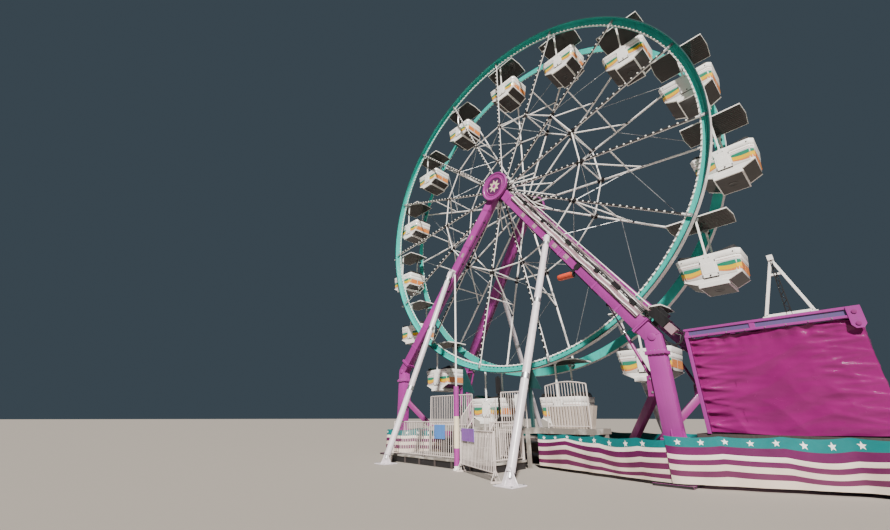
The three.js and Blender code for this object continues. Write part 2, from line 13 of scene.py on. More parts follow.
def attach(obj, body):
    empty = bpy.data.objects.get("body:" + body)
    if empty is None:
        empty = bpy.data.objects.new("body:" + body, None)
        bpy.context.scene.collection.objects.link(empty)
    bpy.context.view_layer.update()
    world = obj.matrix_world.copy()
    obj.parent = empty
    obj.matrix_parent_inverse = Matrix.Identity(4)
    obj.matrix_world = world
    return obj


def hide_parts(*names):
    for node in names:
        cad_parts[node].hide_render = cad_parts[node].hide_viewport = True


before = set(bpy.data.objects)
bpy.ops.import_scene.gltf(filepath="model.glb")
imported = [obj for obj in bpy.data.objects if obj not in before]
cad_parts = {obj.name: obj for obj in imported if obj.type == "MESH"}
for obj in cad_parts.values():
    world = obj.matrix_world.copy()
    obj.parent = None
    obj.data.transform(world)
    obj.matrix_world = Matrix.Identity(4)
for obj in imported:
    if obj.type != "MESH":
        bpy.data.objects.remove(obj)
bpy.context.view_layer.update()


def put(name, data):
    """A new object in the scene"""
    made = bpy.data.objects.new(name, data)
    bpy.context.scene.collection.objects.link(made)
    return made


# Camera where the photographer stood, looking up at the wheel
EYE = (8.846, -13.279, 1.45)
TURN_LEFT, TILT_UP = math.radians(46.80), math.radians(22.21)
lens = bpy.data.cameras.new("photographer")
lens.lens = 15.165
lens.sensor_width = 36.0
lens.clip_end = 900.0
camera = put("photographer", lens)
camera.location = EYE
camera.rotation_euler = (math.pi / 2 + TILT_UP, 0.0, TURN_LEFT)
bpy.context.scene.camera = camera

# Sizes that the source gives, repeated here. It leaves GAP where one piece rests on another
GAP = 0.0003
HUB = Vector((-0.32, 0.0, 11.4))
BAYS, FIRST = 15, 209.0
BAY = 360.0 / BAYS
SPOKE_ANGLES = [FIRST - k * BAY for k in range(BAYS)]
RIM_IN, RIM_OUT, WEB_IN, WEB_OUT, FLANGE_Y = 8.0, 8.3, 0.85, 0.88, 1.08
PIN_R, RING_R, CROSS_R = 8.18, 3.9, 5.1
SPOKE_Y = 0.92 + GAP
LEG_X, KNEE_Z, LEG_TOP_Y, LEG_FOOT_Y = 5.6, 3.5, 1.2, 2.05
LEG_W, LEG_D = 0.43, 0.33
BEARING_R, LEG_FOOT_Z, TRAILER_Z = 0.45 + GAP, 0.95 + GAP, 0.65 + GAP
LADDER_DEPTH = LEG_D / 2 + GAP
X_AXIS, Y_AXIS, Z_AXIS = Vector((1, 0, 0)), Vector((0, 1, 0)), Vector((0, 0, 1))
DEPTHS = {"near": -1, "far": 1}
HANDS = {"left": -1, "right": 1}
CORNERS = [(f"{depth}_{hand}", sx, sy) for depth, sy in DEPTHS.items()
           for hand, sx in HANDS.items()]


def at(x, y, z):
    """A point measured from the ground under the hub"""
    return Vector((x + HUB.x, y, z))


def outward(angle):
    """The direction of a spoke"""
    turn = math.radians(angle)
    return Vector((math.cos(turn), 0.0, math.sin(turn)))


def on_wheel(radius, angle, y):
    return HUB + outward(angle) * radius + Y_AXIS * y


def span(r0, r1, angle, y):
    """Two points along a spoke"""
    return [on_wheel(r0, angle, y), on_wheel(r1, angle, y)]


def tower_point(x, z, sx, sy, out):
    """A point in a leg's plane, which leans outwards towards the knee"""
    lean = (HUB.z - z) / (HUB.z - KNEE_Z)
    return at(sx * x, sy * (LEG_TOP_Y + (LEG_FOOT_Y - LEG_TOP_Y) * lean + out), z)


def on_leg(sx, sy):
    """Gives points on a leg: along it from the hub, across it outwards, and out of its plane"""
    length = math.hypot(LEG_X, HUB.z - KNEE_Z)
    dx, dz = LEG_X / length, (HUB.z - KNEE_Z) / length

    def spot(along, across=0.0, out=0.0):
        return tower_point(along * dx + across * dz, HUB.z - along * dz + across * dx, sx, sy, out)
    return spot


# Shapes gathered before they become one piece
def spread(finish, count):
    """The finish of each of some faces, from one number or from a list"""
    return list(finish) if isinstance(finish, (list, tuple)) else [finish] * count


class Stock:
    """Points and faces, each face with the number of its finish"""

    def __init__(self):
        self.points, self.faces, self.finishes = [], [], []

    def take(self, points, faces, finish=0):
        first = len(self.points)
        self.points.extend(Vector(p) for p in points)
        self.faces.extend([first + i for i in face] for face in faces)
        self.finishes.extend(spread(finish, len(faces)))
        return self

    def join(self, other):
        return self.take(other.points, other.faces, other.finishes)

    def body(self):
        """The faces as a bmesh, all turned outwards"""
        body = bmesh.new()
        corners = [body.verts.new(p) for p in self.points]
        for face, finish in zip(self.faces, self.finishes):
            body.faces.new([corners[i] for i in face]).material_index = finish
        bmesh.ops.recalc_face_normals(body, faces=body.faces)
        return body

    def soften(self, width, segments=2):
        """Rounds every edge so far that is sharper than 30 degrees"""
        body = self.body()
        edges = [e for e in body.edges if e.calc_face_angle(0.0) > math.radians(30.0)]
        bmesh.ops.bevel(body, geom=edges, offset=width, segments=segments, profile=0.5,
                        affect="EDGES", clamp_overlap=True)
        body.verts.index_update()
        self.points = [v.co.copy() for v in body.verts]
        self.faces = [[v.index for v in f.verts] for f in body.faces]
        self.finishes = [f.material_index for f in body.faces]
        body.free()
        return self


def loft(stock, loops, finish=0, closed=True):
    """Walls between loops of the same number of points, with the ends shut if closed"""
    count, last = len(loops[0]), len(loops) - 1
    kinds = spread(finish, last)
    faces = [(a + n, a + (n + 1) % count, a + count + (n + 1) % count, a + count + n)
             for a in range(0, last * count, count) for n in range(count)]
    shades = [kind for kind in kinds for _ in range(count)]
    if closed:
        faces += [range(count), range(last * count, (last + 1) * count)]
        shades += [kinds[0]] * 2
    stock.take([p for loop in loops for p in loop], faces, shades)


def block(stock, low, high, finish=0):
    """A box between two opposite corners"""
    (x0, y0, z0), (x1, y1, z1) = low, high
    loft(stock, [[(x0, y0, z), (x1, y0, z), (x1, y1, z), (x0, y1, z)] for z in (z0, z1)], finish)


def pad(stock, x, y, half_x, half_y, low, high, finish=0):
    """A box centred on a point in plan"""
    block(stock, at(x - half_x, y - half_y, low), at(x + half_x, y + half_y, high), finish)


def beam(stock, start, end, width, depth, side=Y_AXIS, finish=0):
    """A straight flat-sided bar: width lies along side, depth across it"""
    along = (end - start).normalized()
    across = along.cross(side).normalized()
    up = across.cross(along)
    loft(stock, [[p + across * (depth / 2 * b) + up * (width / 2 * a)
                  for a, b in ((-1, -1), (1, -1), (1, 1), (-1, 1))] for p in (start, end)], finish)


def slab(stock, outline, low, high, finish=0, along_x=False):
    """A flat outline in X and Z given thickness along Y, or one in Y and Z along X"""
    loft(stock, [[(c, a, b) if along_x else (a, c, b) for a, b in outline] for c in (low, high)],
         finish)


def square_to(axis):
    """Two directions square to an axis and to each other"""
    reference = X_AXIS if abs(axis.x) < 0.9 else Z_AXIS
    u = (reference - axis * reference.dot(axis)).normalized()
    return u, u.cross(axis)


def pipe(stock, points, radius, sides, finish=0):
    """A round tube through the points"""
    rings, u, last = [], None, len(points) - 1
    for i, p in enumerate(points):
        along = (points[min(i + 1, last)] - points[max(i - 1, 0)]).normalized()
        if u is None:
            u, v = square_to(along)
        else:
            u = (u - along * u.dot(along)).normalized()
            v = u.cross(along)
        rings.append([p + (u * math.cos(t) + v * math.sin(t)) * radius
                      for t in (2 * math.pi * n / sides for n in range(sides))])
    loft(stock, rings, finish)


def turned(stock, profile, centre, axis, sides, finish=0, start=0.0, sweep=360.0):
    """A closed profile of (radius, height) turned round an axis. Finish may be one for each edge"""
    centre, axis = Vector(centre), Vector(axis).normalized()
    u, v = square_to(axis)
    count, whole = len(profile), sweep >= 360.0
    stations = sides if whole else sides + 1
    kinds = spread(finish, count)
    corners, index = [], []
    for n in range(stations):
        angle = math.radians(start + sweep * n / sides)
        out = u * math.cos(angle) + v * math.sin(angle)
        row = []
        for k, (radius, height) in enumerate(profile):
            if radius < 1e-6 and n:
                row.append(index[0][k])
                continue
            row.append(len(corners))
            corners.append(centre + axis * height + out * radius)
        index.append(row)
    faces, shades = [], []
    for n in range(sides):
        a, b = index[n], index[(n + 1) % stations]
        for k in range(count):
            m = (k + 1) % count
            face = list(dict.fromkeys([a[k], a[m], b[m], b[k]]))
            if len(face) > 2:
                faces.append(face)
                shades.append(kinds[k])
    if not whole:
        faces += [index[0], index[-1]]
        shades += [kinds[0]] * 2
    stock.take(corners, faces, shades)


def collar(stock, inner, outer, low, high, centre, axis, sides, finish=0):
    """A ring between two heights along its axis, or a disc where inner is 0"""
    turned(stock, [(inner, low), (outer, low), (outer, high), (inner, high)], centre, axis, sides,
           finish)


BULB_R = 0.034


def bulb(stock, foot, out):
    """A lamp bulb in the piece's second finish: a short collar and a round cap"""
    turned(stock, [(r * BULB_R, h * BULB_R) for r, h in (
        (0.0, 0.0), (0.8, 0.0), (1.0, 0.55), (0.66, 1.2), (0.0, 1.42))], foot, out, 8, 1)


def bolt(stock, foot, out, size, finish=1):
    """A hexagon head on a washer"""
    turned(stock, [(r * size, h * size) for r, h in (
        (0.0, 0.0), (1.35, 0.0), (1.35, 0.25), (1.0, 0.25), (1.0, 0.95), (0.0, 0.95))],
        foot, out, 6, finish)


def corner_bolts(stock, x, y, z, half_x, half_y, size, finish=1):
    """A bolt near each corner of a level plate"""
    for i in (-half_x, half_x):
        for j in (-half_y, half_y):
            bolt(stock, at(x + i, y + j, z), Z_AXIS, size, finish)


def piece(name, stock, finishes, stands_for, body="base", fold=35.0, mesh=None,
          place=(0.0, 0.0, 0.0)):
    """Turns gathered shapes, or a mesh made before, into one piece that rides on a body"""
    if mesh is None:
        made = stock.body()
        mesh = bpy.data.meshes.new(name)
        made.to_mesh(mesh)
        made.free()
        for finish in finishes:
            mesh.materials.append(finish)
        mesh.shade_smooth()
        mesh.set_sharp_from_angle(angle=math.radians(fold))
    thing = put(name, mesh)
    thing.location = place
    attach(thing, body)
    if stands_for:
        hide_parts(stands_for)
    return thing


# Finishes
def linear(code):
    """An sRGB hex colour as linear red, green, blue and alpha"""
    channels = [int(code[i:i + 2], 16) / 255 for i in (1, 3, 5)]
    return tuple(c / 12.92 if c <= 0.04045 else ((c + 0.055) / 1.055) ** 2.4
                 for c in channels) + (1.0,)


def per_metre(millimetres):
    """Pattern scale whose repeat is the given size"""
    return 1000.0 / millimetres


def node(finish, kind, settings=None, links=None):
    """Adds a node, sets its inputs or options, and links sockets into it"""
    made = finish.node_tree.nodes.new(kind)
    for name, value in (settings or {}).items():
        if isinstance(name, int) or name in made.inputs:
            made.inputs[name].default_value = value
        else:
            setattr(made, name, value)
    for name, socket in (links or {}).items():
        finish.node_tree.links.new(socket, made.inputs[name])
    return made


MIX_A, MIX_B, MIX_OUT = 6, 7, 2


def new_finish(name):
    """An empty material with its shader and the place on the piece"""
    finish = bpy.data.materials.new(name)
    finish.use_nodes = True
    shader = finish.node_tree.nodes["Principled BSDF"]
    place = node(finish, "ShaderNodeTexCoord").outputs["Object"]
    return finish, shader, place


def enamel(name, colour, dirt="#4A3B36", primer="#6E4A3A", gloss=0.34, chips=0.5, dust=0.35):
    """Sprayed gloss enamel on steel: even colour, sun-faded in broad patches, with rain streaks,
    chips down to brown primer at 20 mm and a dull bloom of dust that breaks the gloss"""
    finish, shader, place = new_finish(name)
    fade = node(finish, "ShaderNodeTexNoise", {"Scale": per_metre(1400), "Detail": 3.0},
                {"Vector": place})
    lift = node(finish, "ShaderNodeMapRange", {"From Min": 0.3, "From Max": 0.7, "To Min": 0.86,
                                               "To Max": 1.1}, {"Value": fade.outputs["Fac"]})
    faded = node(finish, "ShaderNodeMix", {"data_type": "RGBA", "blend_type": "MULTIPLY", 0: 1.0,
                                           MIX_A: linear(colour)},
                 {MIX_B: lift.outputs["Result"]})
    long_way = node(finish, "ShaderNodeMapping", {"Scale": (per_metre(60), per_metre(60),
                                                            per_metre(1500))}, {"Vector": place})
    streaks = node(finish, "ShaderNodeTexNoise", {"Scale": 1.0, "Detail": 4.0},
                   {"Vector": long_way.outputs["Vector"]})
    run = node(finish, "ShaderNodeMapRange", {"From Min": 0.5, "From Max": 0.78, "To Min": 0.0,
                                              "To Max": dust}, {"Value": streaks.outputs["Fac"]})
    streaked = node(finish, "ShaderNodeMix", {"data_type": "RGBA", MIX_B: linear(dirt)},
                    {0: run.outputs["Result"], MIX_A: faded.outputs[MIX_OUT]})
    flake = node(finish, "ShaderNodeTexNoise", {"Scale": per_metre(20), "Detail": 5.0,
                                                "Roughness": 0.6}, {"Vector": place})
    where = node(finish, "ShaderNodeTexNoise", {"Scale": per_metre(420), "Detail": 2.0},
                 {"Vector": place})
    worn = node(finish, "ShaderNodeMath", {"operation": "ADD"},
                {0: flake.outputs["Fac"], 1: where.outputs["Fac"]})
    bare = node(finish, "ShaderNodeMapRange", {"From Min": 1.27, "From Max": 1.33, "To Min": 0.0,
                                               "To Max": chips}, {"Value": worn.outputs["Value"]})
    chipped = node(finish, "ShaderNodeMix", {"data_type": "RGBA", MIX_B: linear(primer)},
                   {0: bare.outputs["Result"], MIX_A: streaked.outputs[MIX_OUT]})
    dull = node(finish, "ShaderNodeMapRange", {"From Min": 0.25, "From Max": 0.75,
                                               "To Min": gloss, "To Max": gloss + 0.22},
                {"Value": streaks.outputs["Fac"]})
    # Orange peel is 3 mm on the real thing. It is drawn at 25 mm to show from the ground.
    peel = node(finish, "ShaderNodeTexNoise", {"Scale": per_metre(25), "Detail": 2.0},
                {"Vector": place})
    bump = node(finish, "ShaderNodeBump", {"Strength": 0.12, "Distance": 0.004},
                {"Height": peel.outputs["Fac"]})
    links = finish.node_tree.links
    links.new(chipped.outputs[MIX_OUT], shader.inputs["Base Color"])
    links.new(dull.outputs["Result"], shader.inputs["Roughness"])
    links.new(bump.outputs["Normal"], shader.inputs["Normal"])
    shader.inputs["Coat Weight"].default_value = 0.25
    shader.inputs["Coat Roughness"].default_value = 0.18
    return finish


def metal(name, colour, roughness, grain_mm=30, stain="#5B4636", stained=0.3):
    """Bare or zinc-coated steel: a hard grey gleam, cloudy crystal patches and rust-brown stains"""
    finish, shader, place = new_finish(name)
    crystals = node(finish, "ShaderNodeTexVoronoi", {"Scale": per_metre(grain_mm)},
                    {"Vector": place})
    tone = node(finish, "ShaderNodeMapRange", {"To Min": 0.82, "To Max": 1.08},
                {"Value": crystals.outputs["Color"]})
    cloudy = node(finish, "ShaderNodeMix", {"data_type": "RGBA", "blend_type": "MULTIPLY", 0: 1.0,
                                            MIX_A: linear(colour)}, {MIX_B: tone.outputs["Result"]})
    patches = node(finish, "ShaderNodeTexNoise", {"Scale": per_metre(260), "Detail": 6.0},
                   {"Vector": place})
    stains = node(finish, "ShaderNodeMapRange", {"From Min": 0.52, "From Max": 0.75,
                                                 "To Min": 0.0, "To Max": stained},
                  {"Value": patches.outputs["Fac"]})
    tinted = node(finish, "ShaderNodeMix", {"data_type": "RGBA", MIX_B: linear(stain)},
                  {0: stains.outputs["Result"], MIX_A: cloudy.outputs[MIX_OUT]})
    dull = node(finish, "ShaderNodeMapRange", {"To Min": roughness - 0.08,
                                               "To Max": roughness + 0.25},
                {"Value": patches.outputs["Fac"]})
    links = finish.node_tree.links
    links.new(tinted.outputs[MIX_OUT], shader.inputs["Base Color"])
    links.new(dull.outputs["Result"], shader.inputs["Roughness"])
    shader.inputs["Metallic"].default_value = 1.0
    return finish


def gelcoat(name, colour, roughness=0.22, grime="#8A7C66", mark=0.18):
    """Moulded fibreglass under a gloss gelcoat: deep even colour, slightly chalked in patches,
    with fine scuffs and a wet-looking coat"""
    finish, shader, place = new_finish(name)
    chalk = node(finish, "ShaderNodeTexNoise", {"Scale": per_metre(350), "Detail": 5.0},
                 {"Vector": place})
    chalked = node(finish, "ShaderNodeMapRange", {"From Min": 0.45, "From Max": 0.8,
                                                  "To Min": 0.0, "To Max": mark},
                   {"Value": chalk.outputs["Fac"]})
    soiled = node(finish, "ShaderNodeMix", {"data_type": "RGBA", MIX_A: linear(colour),
                                            MIX_B: linear(grime)},
                  {0: chalked.outputs["Result"]})
    dull = node(finish, "ShaderNodeMapRange", {"To Min": roughness - 0.06,
                                               "To Max": roughness + 0.2},
                {"Value": chalk.outputs["Fac"]})
    ripple = node(finish, "ShaderNodeTexNoise", {"Scale": per_metre(90), "Detail": 1.0},
                  {"Vector": place})
    bump = node(finish, "ShaderNodeBump", {"Strength": 0.1, "Distance": 0.006},
                {"Height": ripple.outputs["Fac"]})
    links = finish.node_tree.links
    links.new(soiled.outputs[MIX_OUT], shader.inputs["Base Color"])
    links.new(dull.outputs["Result"], shader.inputs["Roughness"])
    links.new(bump.outputs["Normal"], shader.inputs["Normal"])
    shader.inputs["Coat Weight"].default_value = 0.4
    shader.inputs["Coat Roughness"].default_value = 0.08
    return finish


def coated_cloth(name, colour, gloss=0.5, soil="#6A5240", soiled=0.3, foot=None):
    """Woven cloth under a soft vinyl coat: a plastic shine over small threads, creases and, near
    the ground, splashed soil. Threads are 1 mm apart and are drawn at 14 mm so that they show"""
    finish, shader, place = new_finish(name)
    cloud = node(finish, "ShaderNodeTexNoise", {"Scale": per_metre(500), "Detail": 5.0},
                 {"Vector": place})
    tone = node(finish, "ShaderNodeMapRange", {"From Min": 0.3, "From Max": 0.7, "To Min": 0.88,
                                               "To Max": 1.08}, {"Value": cloud.outputs["Fac"]})
    varied = node(finish, "ShaderNodeMix", {"data_type": "RGBA", "blend_type": "MULTIPLY", 0: 1.0,
                                            MIX_A: linear(colour)}, {MIX_B: tone.outputs["Result"]})
    colour_out = varied.outputs[MIX_OUT]
    if foot is not None:
        height = node(finish, "ShaderNodeSeparateXYZ", {}, {"Vector": place})
        reach = node(finish, "ShaderNodeMath", {"operation": "MULTIPLY_ADD", 1: 0.5, 2: 0.0},
                     {0: cloud.outputs["Fac"]})
        low = node(finish, "ShaderNodeMath", {"operation": "SUBTRACT"},
                   {0: height.outputs["Z"], 1: reach.outputs["Value"]})
        splash = node(finish, "ShaderNodeMapRange", {"From Min": foot, "From Max": foot - 0.25,
                                                     "To Min": 0.0, "To Max": soiled},
                      {"Value": low.outputs["Value"]})
        dirty = node(finish, "ShaderNodeMix", {"data_type": "RGBA", MIX_B: linear(soil)},
                     {0: splash.outputs["Result"], MIX_A: colour_out})
        colour_out = dirty.outputs[MIX_OUT]
    threads = node(finish, "ShaderNodeTexChecker", {"Scale": per_metre(14)},
                   {"Vector": place})
    crease = node(finish, "ShaderNodeTexNoise", {"Scale": per_metre(160), "Detail": 4.0,
                                                 "Distortion": 1.2}, {"Vector": place})
    relief = node(finish, "ShaderNodeMath", {"operation": "MULTIPLY_ADD", 1: 0.12},
                  {0: threads.outputs["Fac"], 2: crease.outputs["Fac"]})
    bump = node(finish, "ShaderNodeBump", {"Strength": 0.35, "Distance": 0.01},
                {"Height": relief.outputs["Value"]})
    dull = node(finish, "ShaderNodeMapRange", {"To Min": gloss - 0.1, "To Max": gloss + 0.15},
                {"Value": crease.outputs["Fac"]})
    links = finish.node_tree.links
    links.new(colour_out, shader.inputs["Base Color"])
    links.new(dull.outputs["Result"], shader.inputs["Roughness"])
    links.new(bump.outputs["Normal"], shader.inputs["Normal"])
    shader.inputs["Specular IOR Level"].default_value = 0.4
    return finish


def chequer_plate(name, colour):
    """Rolled steel deck plate, painted: raised bars 30 mm apart, worn bright in patches"""
    finish, shader, place = new_finish(name)
    turn = node(finish, "ShaderNodeMapping", {"Rotation": (0.0, 0.0, math.pi / 4)},
                {"Vector": place})
    bars = node(finish, "ShaderNodeTexBrick", {"Scale": per_metre(60), "Mortar Size": 0.02,
                                               "Brick Width": 0.5, "Row Height": 0.25},
                {"Vector": turn.outputs["Vector"]})
    wear = node(finish, "ShaderNodeTexNoise", {"Scale": per_metre(300), "Detail": 5.0},
                {"Vector": place})
    rubbed = node(finish, "ShaderNodeMapRange", {"From Min": 0.45, "From Max": 0.7},
                  {"Value": wear.outputs["Fac"]})
    shade = node(finish, "ShaderNodeMix", {"data_type": "RGBA", MIX_A: linear(colour),
                                           MIX_B: linear("#B9B4AC")},
                 {0: rubbed.outputs["Result"]})
    bump = node(finish, "ShaderNodeBump", {"Strength": 0.5, "Distance": 0.003},
                {"Height": bars.outputs["Fac"]})
    links = finish.node_tree.links
    links.new(shade.outputs[MIX_OUT], shader.inputs["Base Color"])
    links.new(bump.outputs["Normal"], shader.inputs["Normal"])
    shader.inputs["Roughness"].default_value = 0.5
    return finish


pink_enamel = enamel("pink_leg_enamel", "#983488", dirt="#5A2A50", dust=0.28)
deep_pink_enamel = enamel("deep_pink_enamel", "#882772", dirt="#451A3E", gloss=0.36)
teal_enamel = enamel("teal_rim_enamel", "#2EB0A4", dirt="#1E4843", gloss=0.3, dust=0.3)
track_enamel = enamel("white_track_enamel", "#F2EAEA", dirt="#5E5458", dust=0.3)
purple_disc_enamel = enamel("dark_purple_enamel", "#5A2357", gloss=0.3)
white_enamel = enamel("white_enamel", "#F1EDEA", dirt="#8C8078", primer="#7A5A48", gloss=0.3,
                      chips=0.4, dust=0.2)
beige_enamel = enamel("beige_ladder_enamel", "#A5868F", dirt="#3A3034", gloss=0.42, dust=0.8)
grey_frame_enamel = enamel("grey_frame_enamel", "#4B4240", dirt="#1F1A18", gloss=0.45, dust=0.5)
cream_enamel = enamel("cream_enamel", "#E2D2B4", dirt="#6B5A4A", gloss=0.42, dust=0.3)
rail_enamel = enamel("grey_rail_enamel", "#CCC0BB", dirt="#5E5048", gloss=0.42, dust=0.5)
silver_enamel = enamel("silver_enamel", "#D4CCD2", dirt="#6E6268", gloss=0.32, dust=0.3)
green_enamel = enamel("dark_green_enamel", "#123C3C", dirt="#0A1818", gloss=0.38)
black_enamel = enamel("black_enamel", "#1B191B", dirt="#0E0C0E", gloss=0.4, chips=0.25)
orange_enamel = enamel("orange_drum_enamel", "#D24A2C", gloss=0.3, chips=0.2)
blue_enamel = enamel("blue_board_enamel", "#4A7EC4", gloss=0.35, chips=0.2)
purple_enamel = enamel("purple_board_enamel", "#8E4FB8", gloss=0.35, chips=0.2)
grey_enamel = enamel("grey_desk_enamel", "#B5A89C", gloss=0.42)
mauve_enamel = enamel("mauve_panel_enamel", "#5F4F80")
zinc = metal("galvanised_steel", "#C4C6C8", 0.38)
chrome = metal("chromed_ram_steel", "#DAD9D8", 0.14, grain_mm=200, stained=0.1)
greasy_steel = metal("greased_dark_steel", "#4A4646", 0.42, stain="#1C1916", stained=0.8)
deck_plate = chequer_plate("painted_deck_plate", "#7D766F")
white_gelcoat = gelcoat("white_gelcoat", "#F4F1EC")
pale_gelcoat = gelcoat("pale_blue_gelcoat", "#BFDDE6")
teal_gelcoat = gelcoat("teal_seat_gelcoat", "#2FAF9E")
orange_gelcoat = gelcoat("orange_panel_gelcoat", "#DC8440")
red_gelcoat = gelcoat("red_line_gelcoat", "#A3323C")
green_gelcoat = gelcoat("green_leaf_gelcoat", "#047C60")
yellow_gelcoat = gelcoat("yellow_wave_gelcoat", "#E2B400")
# Dark brown underside sheet: the canopies' own colour darkened as painted shade, and painted shade
# on the tub's sloping undersides
brown_sheet_and_shade = gelcoat("brown_ribbed_sheet_and_painted_shade", "#1D1415", roughness=0.5, grime="#171113", mark=0.5)
black_rubber = gelcoat("black_moulded_rubber", "#171516", roughness=0.5, grime="#4A443F")
opal_plastic = gelcoat("opal_lamp_plastic", "#FBF8F0", mark=0.06)
magenta_tarp = coated_cloth("magenta_tarpaulin", "#801A61", gloss=0.2)
teal_cloth = coated_cloth("teal_skirt_cloth", "#006C6E", gloss=0.4)
magenta_cloth = coated_cloth("magenta_skirt_cloth", "#5C0C48", foot=0.35, soiled=0.15)
white_cloth = coated_cloth("white_skirt_cloth", "#F1E6DC", gloss=0.55, soil="#A08060", foot=0.5,
                           soiled=0.45)
star_cloth = coated_cloth("white_star_cloth", "#F6F4F0")

# New finishes on shapes that are right as the frame has them
for name, finish in (
        ("trailer_frame", grey_frame_enamel), ("loading_deck", deck_plate), ("steps", deck_plate),
        ("bearing_near", greasy_steel), ("bearing_far", greasy_steel),
        ("control_desk", grey_enamel), ("rim_guard_left", green_enamel),
        ("rim_guard_right", green_enamel), ("horn_post", black_enamel)):
    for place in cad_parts[name].material_slots:
        place.material = finish

# Rims: curved sections bolted end to end, with a strip of bulbs inside and a flange outside
RIM_STEPS = 10
STRIP_W = 0.045
BULB_PITCH = 0.2


def rim(side):
    stock, out = Stock(), Y_AXIS * side
    teal, track, bare, lip = range(4)
    inner, outer, edge = RIM_OUT - 0.035, RIM_OUT - 0.012, FLANGE_Y - 0.01
    # The lip faces take the dark green finish: painted shade, for the dark line that the flange's
    # shadow makes beside the web
    profile = [(RIM_IN, WEB_IN), (RIM_OUT, WEB_IN), (RIM_OUT, FLANGE_Y), (inner, FLANGE_Y),
               (inner, edge), (outer, edge), (outer, WEB_OUT), (RIM_IN, WEB_OUT)]
    for angle in SPOKE_ANGLES:
        turned(stock, [(r, side * y) for r, y in profile], HUB, Y_AXIS, RIM_STEPS,
               [teal, track, lip, lip, lip, teal, teal, teal], angle, BAY - 0.02)
        # Joint plate on the web beside each spoke, and a stop under the flange
        joint = angle + 0.55
        beam(stock, *span(RIM_IN + 0.08, RIM_OUT - 0.03, joint, side * (WEB_OUT + 0.004)), 0.008,
             0.07)
        for r in (RIM_IN + 0.12, RIM_OUT - 0.08):
            bolt(stock, on_wheel(r, joint, side * (WEB_OUT + 0.008)), out, 0.014, bare)
        beam(stock, on_wheel(RIM_OUT - 0.017, angle, side * (WEB_OUT + 0.02)),
             on_wheel(RIM_OUT - 0.017, angle, side * (FLANGE_Y - 0.02)), 0.01, 0.08,
             outward(angle))
    # Rolled bead halfway across the web, which stiffens it
    turned(stock, [(8.15, WEB_OUT), (8.175, WEB_OUT), (8.1625, WEB_OUT + 0.01)], HUB, out, 150)
    return stock


def rim_lamps(side):
    stock, out = Stock(), Y_AXIS * side
    collar(stock, RIM_IN + 0.002, RIM_IN + STRIP_W, WEB_OUT, WEB_OUT + 0.014, HUB, out, 120)
    count = int(2 * math.pi * RIM_IN / BULB_PITCH)
    for n in range(count):
        bulb(stock, on_wheel(RIM_IN + STRIP_W / 2, 360.0 * n / count, side * (WEB_OUT + 0.013)), out)
    return stock


for depth, side in DEPTHS.items():
    piece(f"{depth}_rim_sections", rim(side), [teal_enamel, track_enamel, zinc, green_enamel],
          f"{depth}_rim", "wheel")
    piece(f"{depth}_rim_lamps", rim_lamps(side), [white_enamel, opal_plastic], None,
          "wheel")

# Spokes: round tubes with plates at both ends, and a row of lamps on their outer faces
TUBE_R = 0.04
white, dark, bare = range(3)
frame_finishes = [white_enamel, greasy_steel, zinc]


def spoke_frame(side):
    stock, out, y = Stock(), Y_AXIS * side, side * SPOKE_Y
    turned(stock, [(0.152, 0.851), (0.5, 0.851), (0.5, 0.9), (0.47, 0.93), (0.3, 0.93),
                   (0.26, 0.945), (0.152, 0.945)], HUB, out, 64, dark)
    for angle in SPOKE_ANGLES:
        pipe(stock, span(0.36, 8.16, angle, y), TUBE_R, 12, white)
        # Fork plates at the hub and at the rim, with their bolts
        for r0, r1, kind in ((0.36, 0.62, dark), (7.98, 8.24, bare)):
            beam(stock, *span(r0, r1, angle, y + side * 0.03), 0.012, 0.11, finish=kind)
            for r in (r0 + 0.07, r1 - 0.07):
                bolt(stock, on_wheel(r, angle, y + side * 0.036), out, 0.014, bare)
        # Sleeve where the two lengths of tube are pinned together
        pipe(stock, span(RING_R - 0.16, RING_R + 0.16, angle, y), TUBE_R + 0.008, 12, dark)
        beam(stock, *span(RING_R - 0.13, RING_R + 0.13, angle, y), 0.016, 0.24, finish=dark)
        pipe(stock, [on_wheel(RING_R, angle, y), on_wheel(RING_R, angle - BAY, y)], 0.03, 8, white)
        # Eye at each end of the ring's tubes
        eye = on_wheel(RING_R, angle, y)
        collar(stock, 0.0, 0.055, -0.045, 0.045, eye, Y_AXIS, 16, dark)
        bolt(stock, eye + out * 0.045, out, 0.02, bare)
    return stock


def bracing():
    """Ties across to the near frame, diagonals and the slender rods between them"""
    stock = Stock()
    near = TUBE_R - SPOKE_Y + 0.001
    for angle in SPOKE_ANGLES:
        for r0, y0, r1 in ((RING_R, near, RING_R), (CROSS_R, near, CROSS_R), (RING_R, -0.8, 5.6),
                           (0.41, -0.84, 1.75)):
            pipe(stock, [on_wheel(r0, angle, y0), on_wheel(r1, angle, SPOKE_Y)], 0.028, 8, white)
        for r, y in ((RING_R, -0.8), (5.6, SPOKE_Y - 0.02), (1.75, SPOKE_Y - 0.02)):
            collar(stock, 0.0, 0.05, -0.03, 0.03, on_wheel(r, angle, y), outward(angle + 90), 12,
                   dark)
        # Crossed wire-thin rods that keep the two frames square
        for r0, y0, r1, y1 in ((RING_R, -0.84, RING_R, 0.88), (CROSS_R, 0.88, RING_R, -0.84),
                               (CROSS_R, SPOKE_Y, 7.9, SPOKE_Y)):
            pipe(stock, [on_wheel(r0, angle, y0), on_wheel(r1, angle - BAY, y1)], 0.012, 6, bare)
    return stock


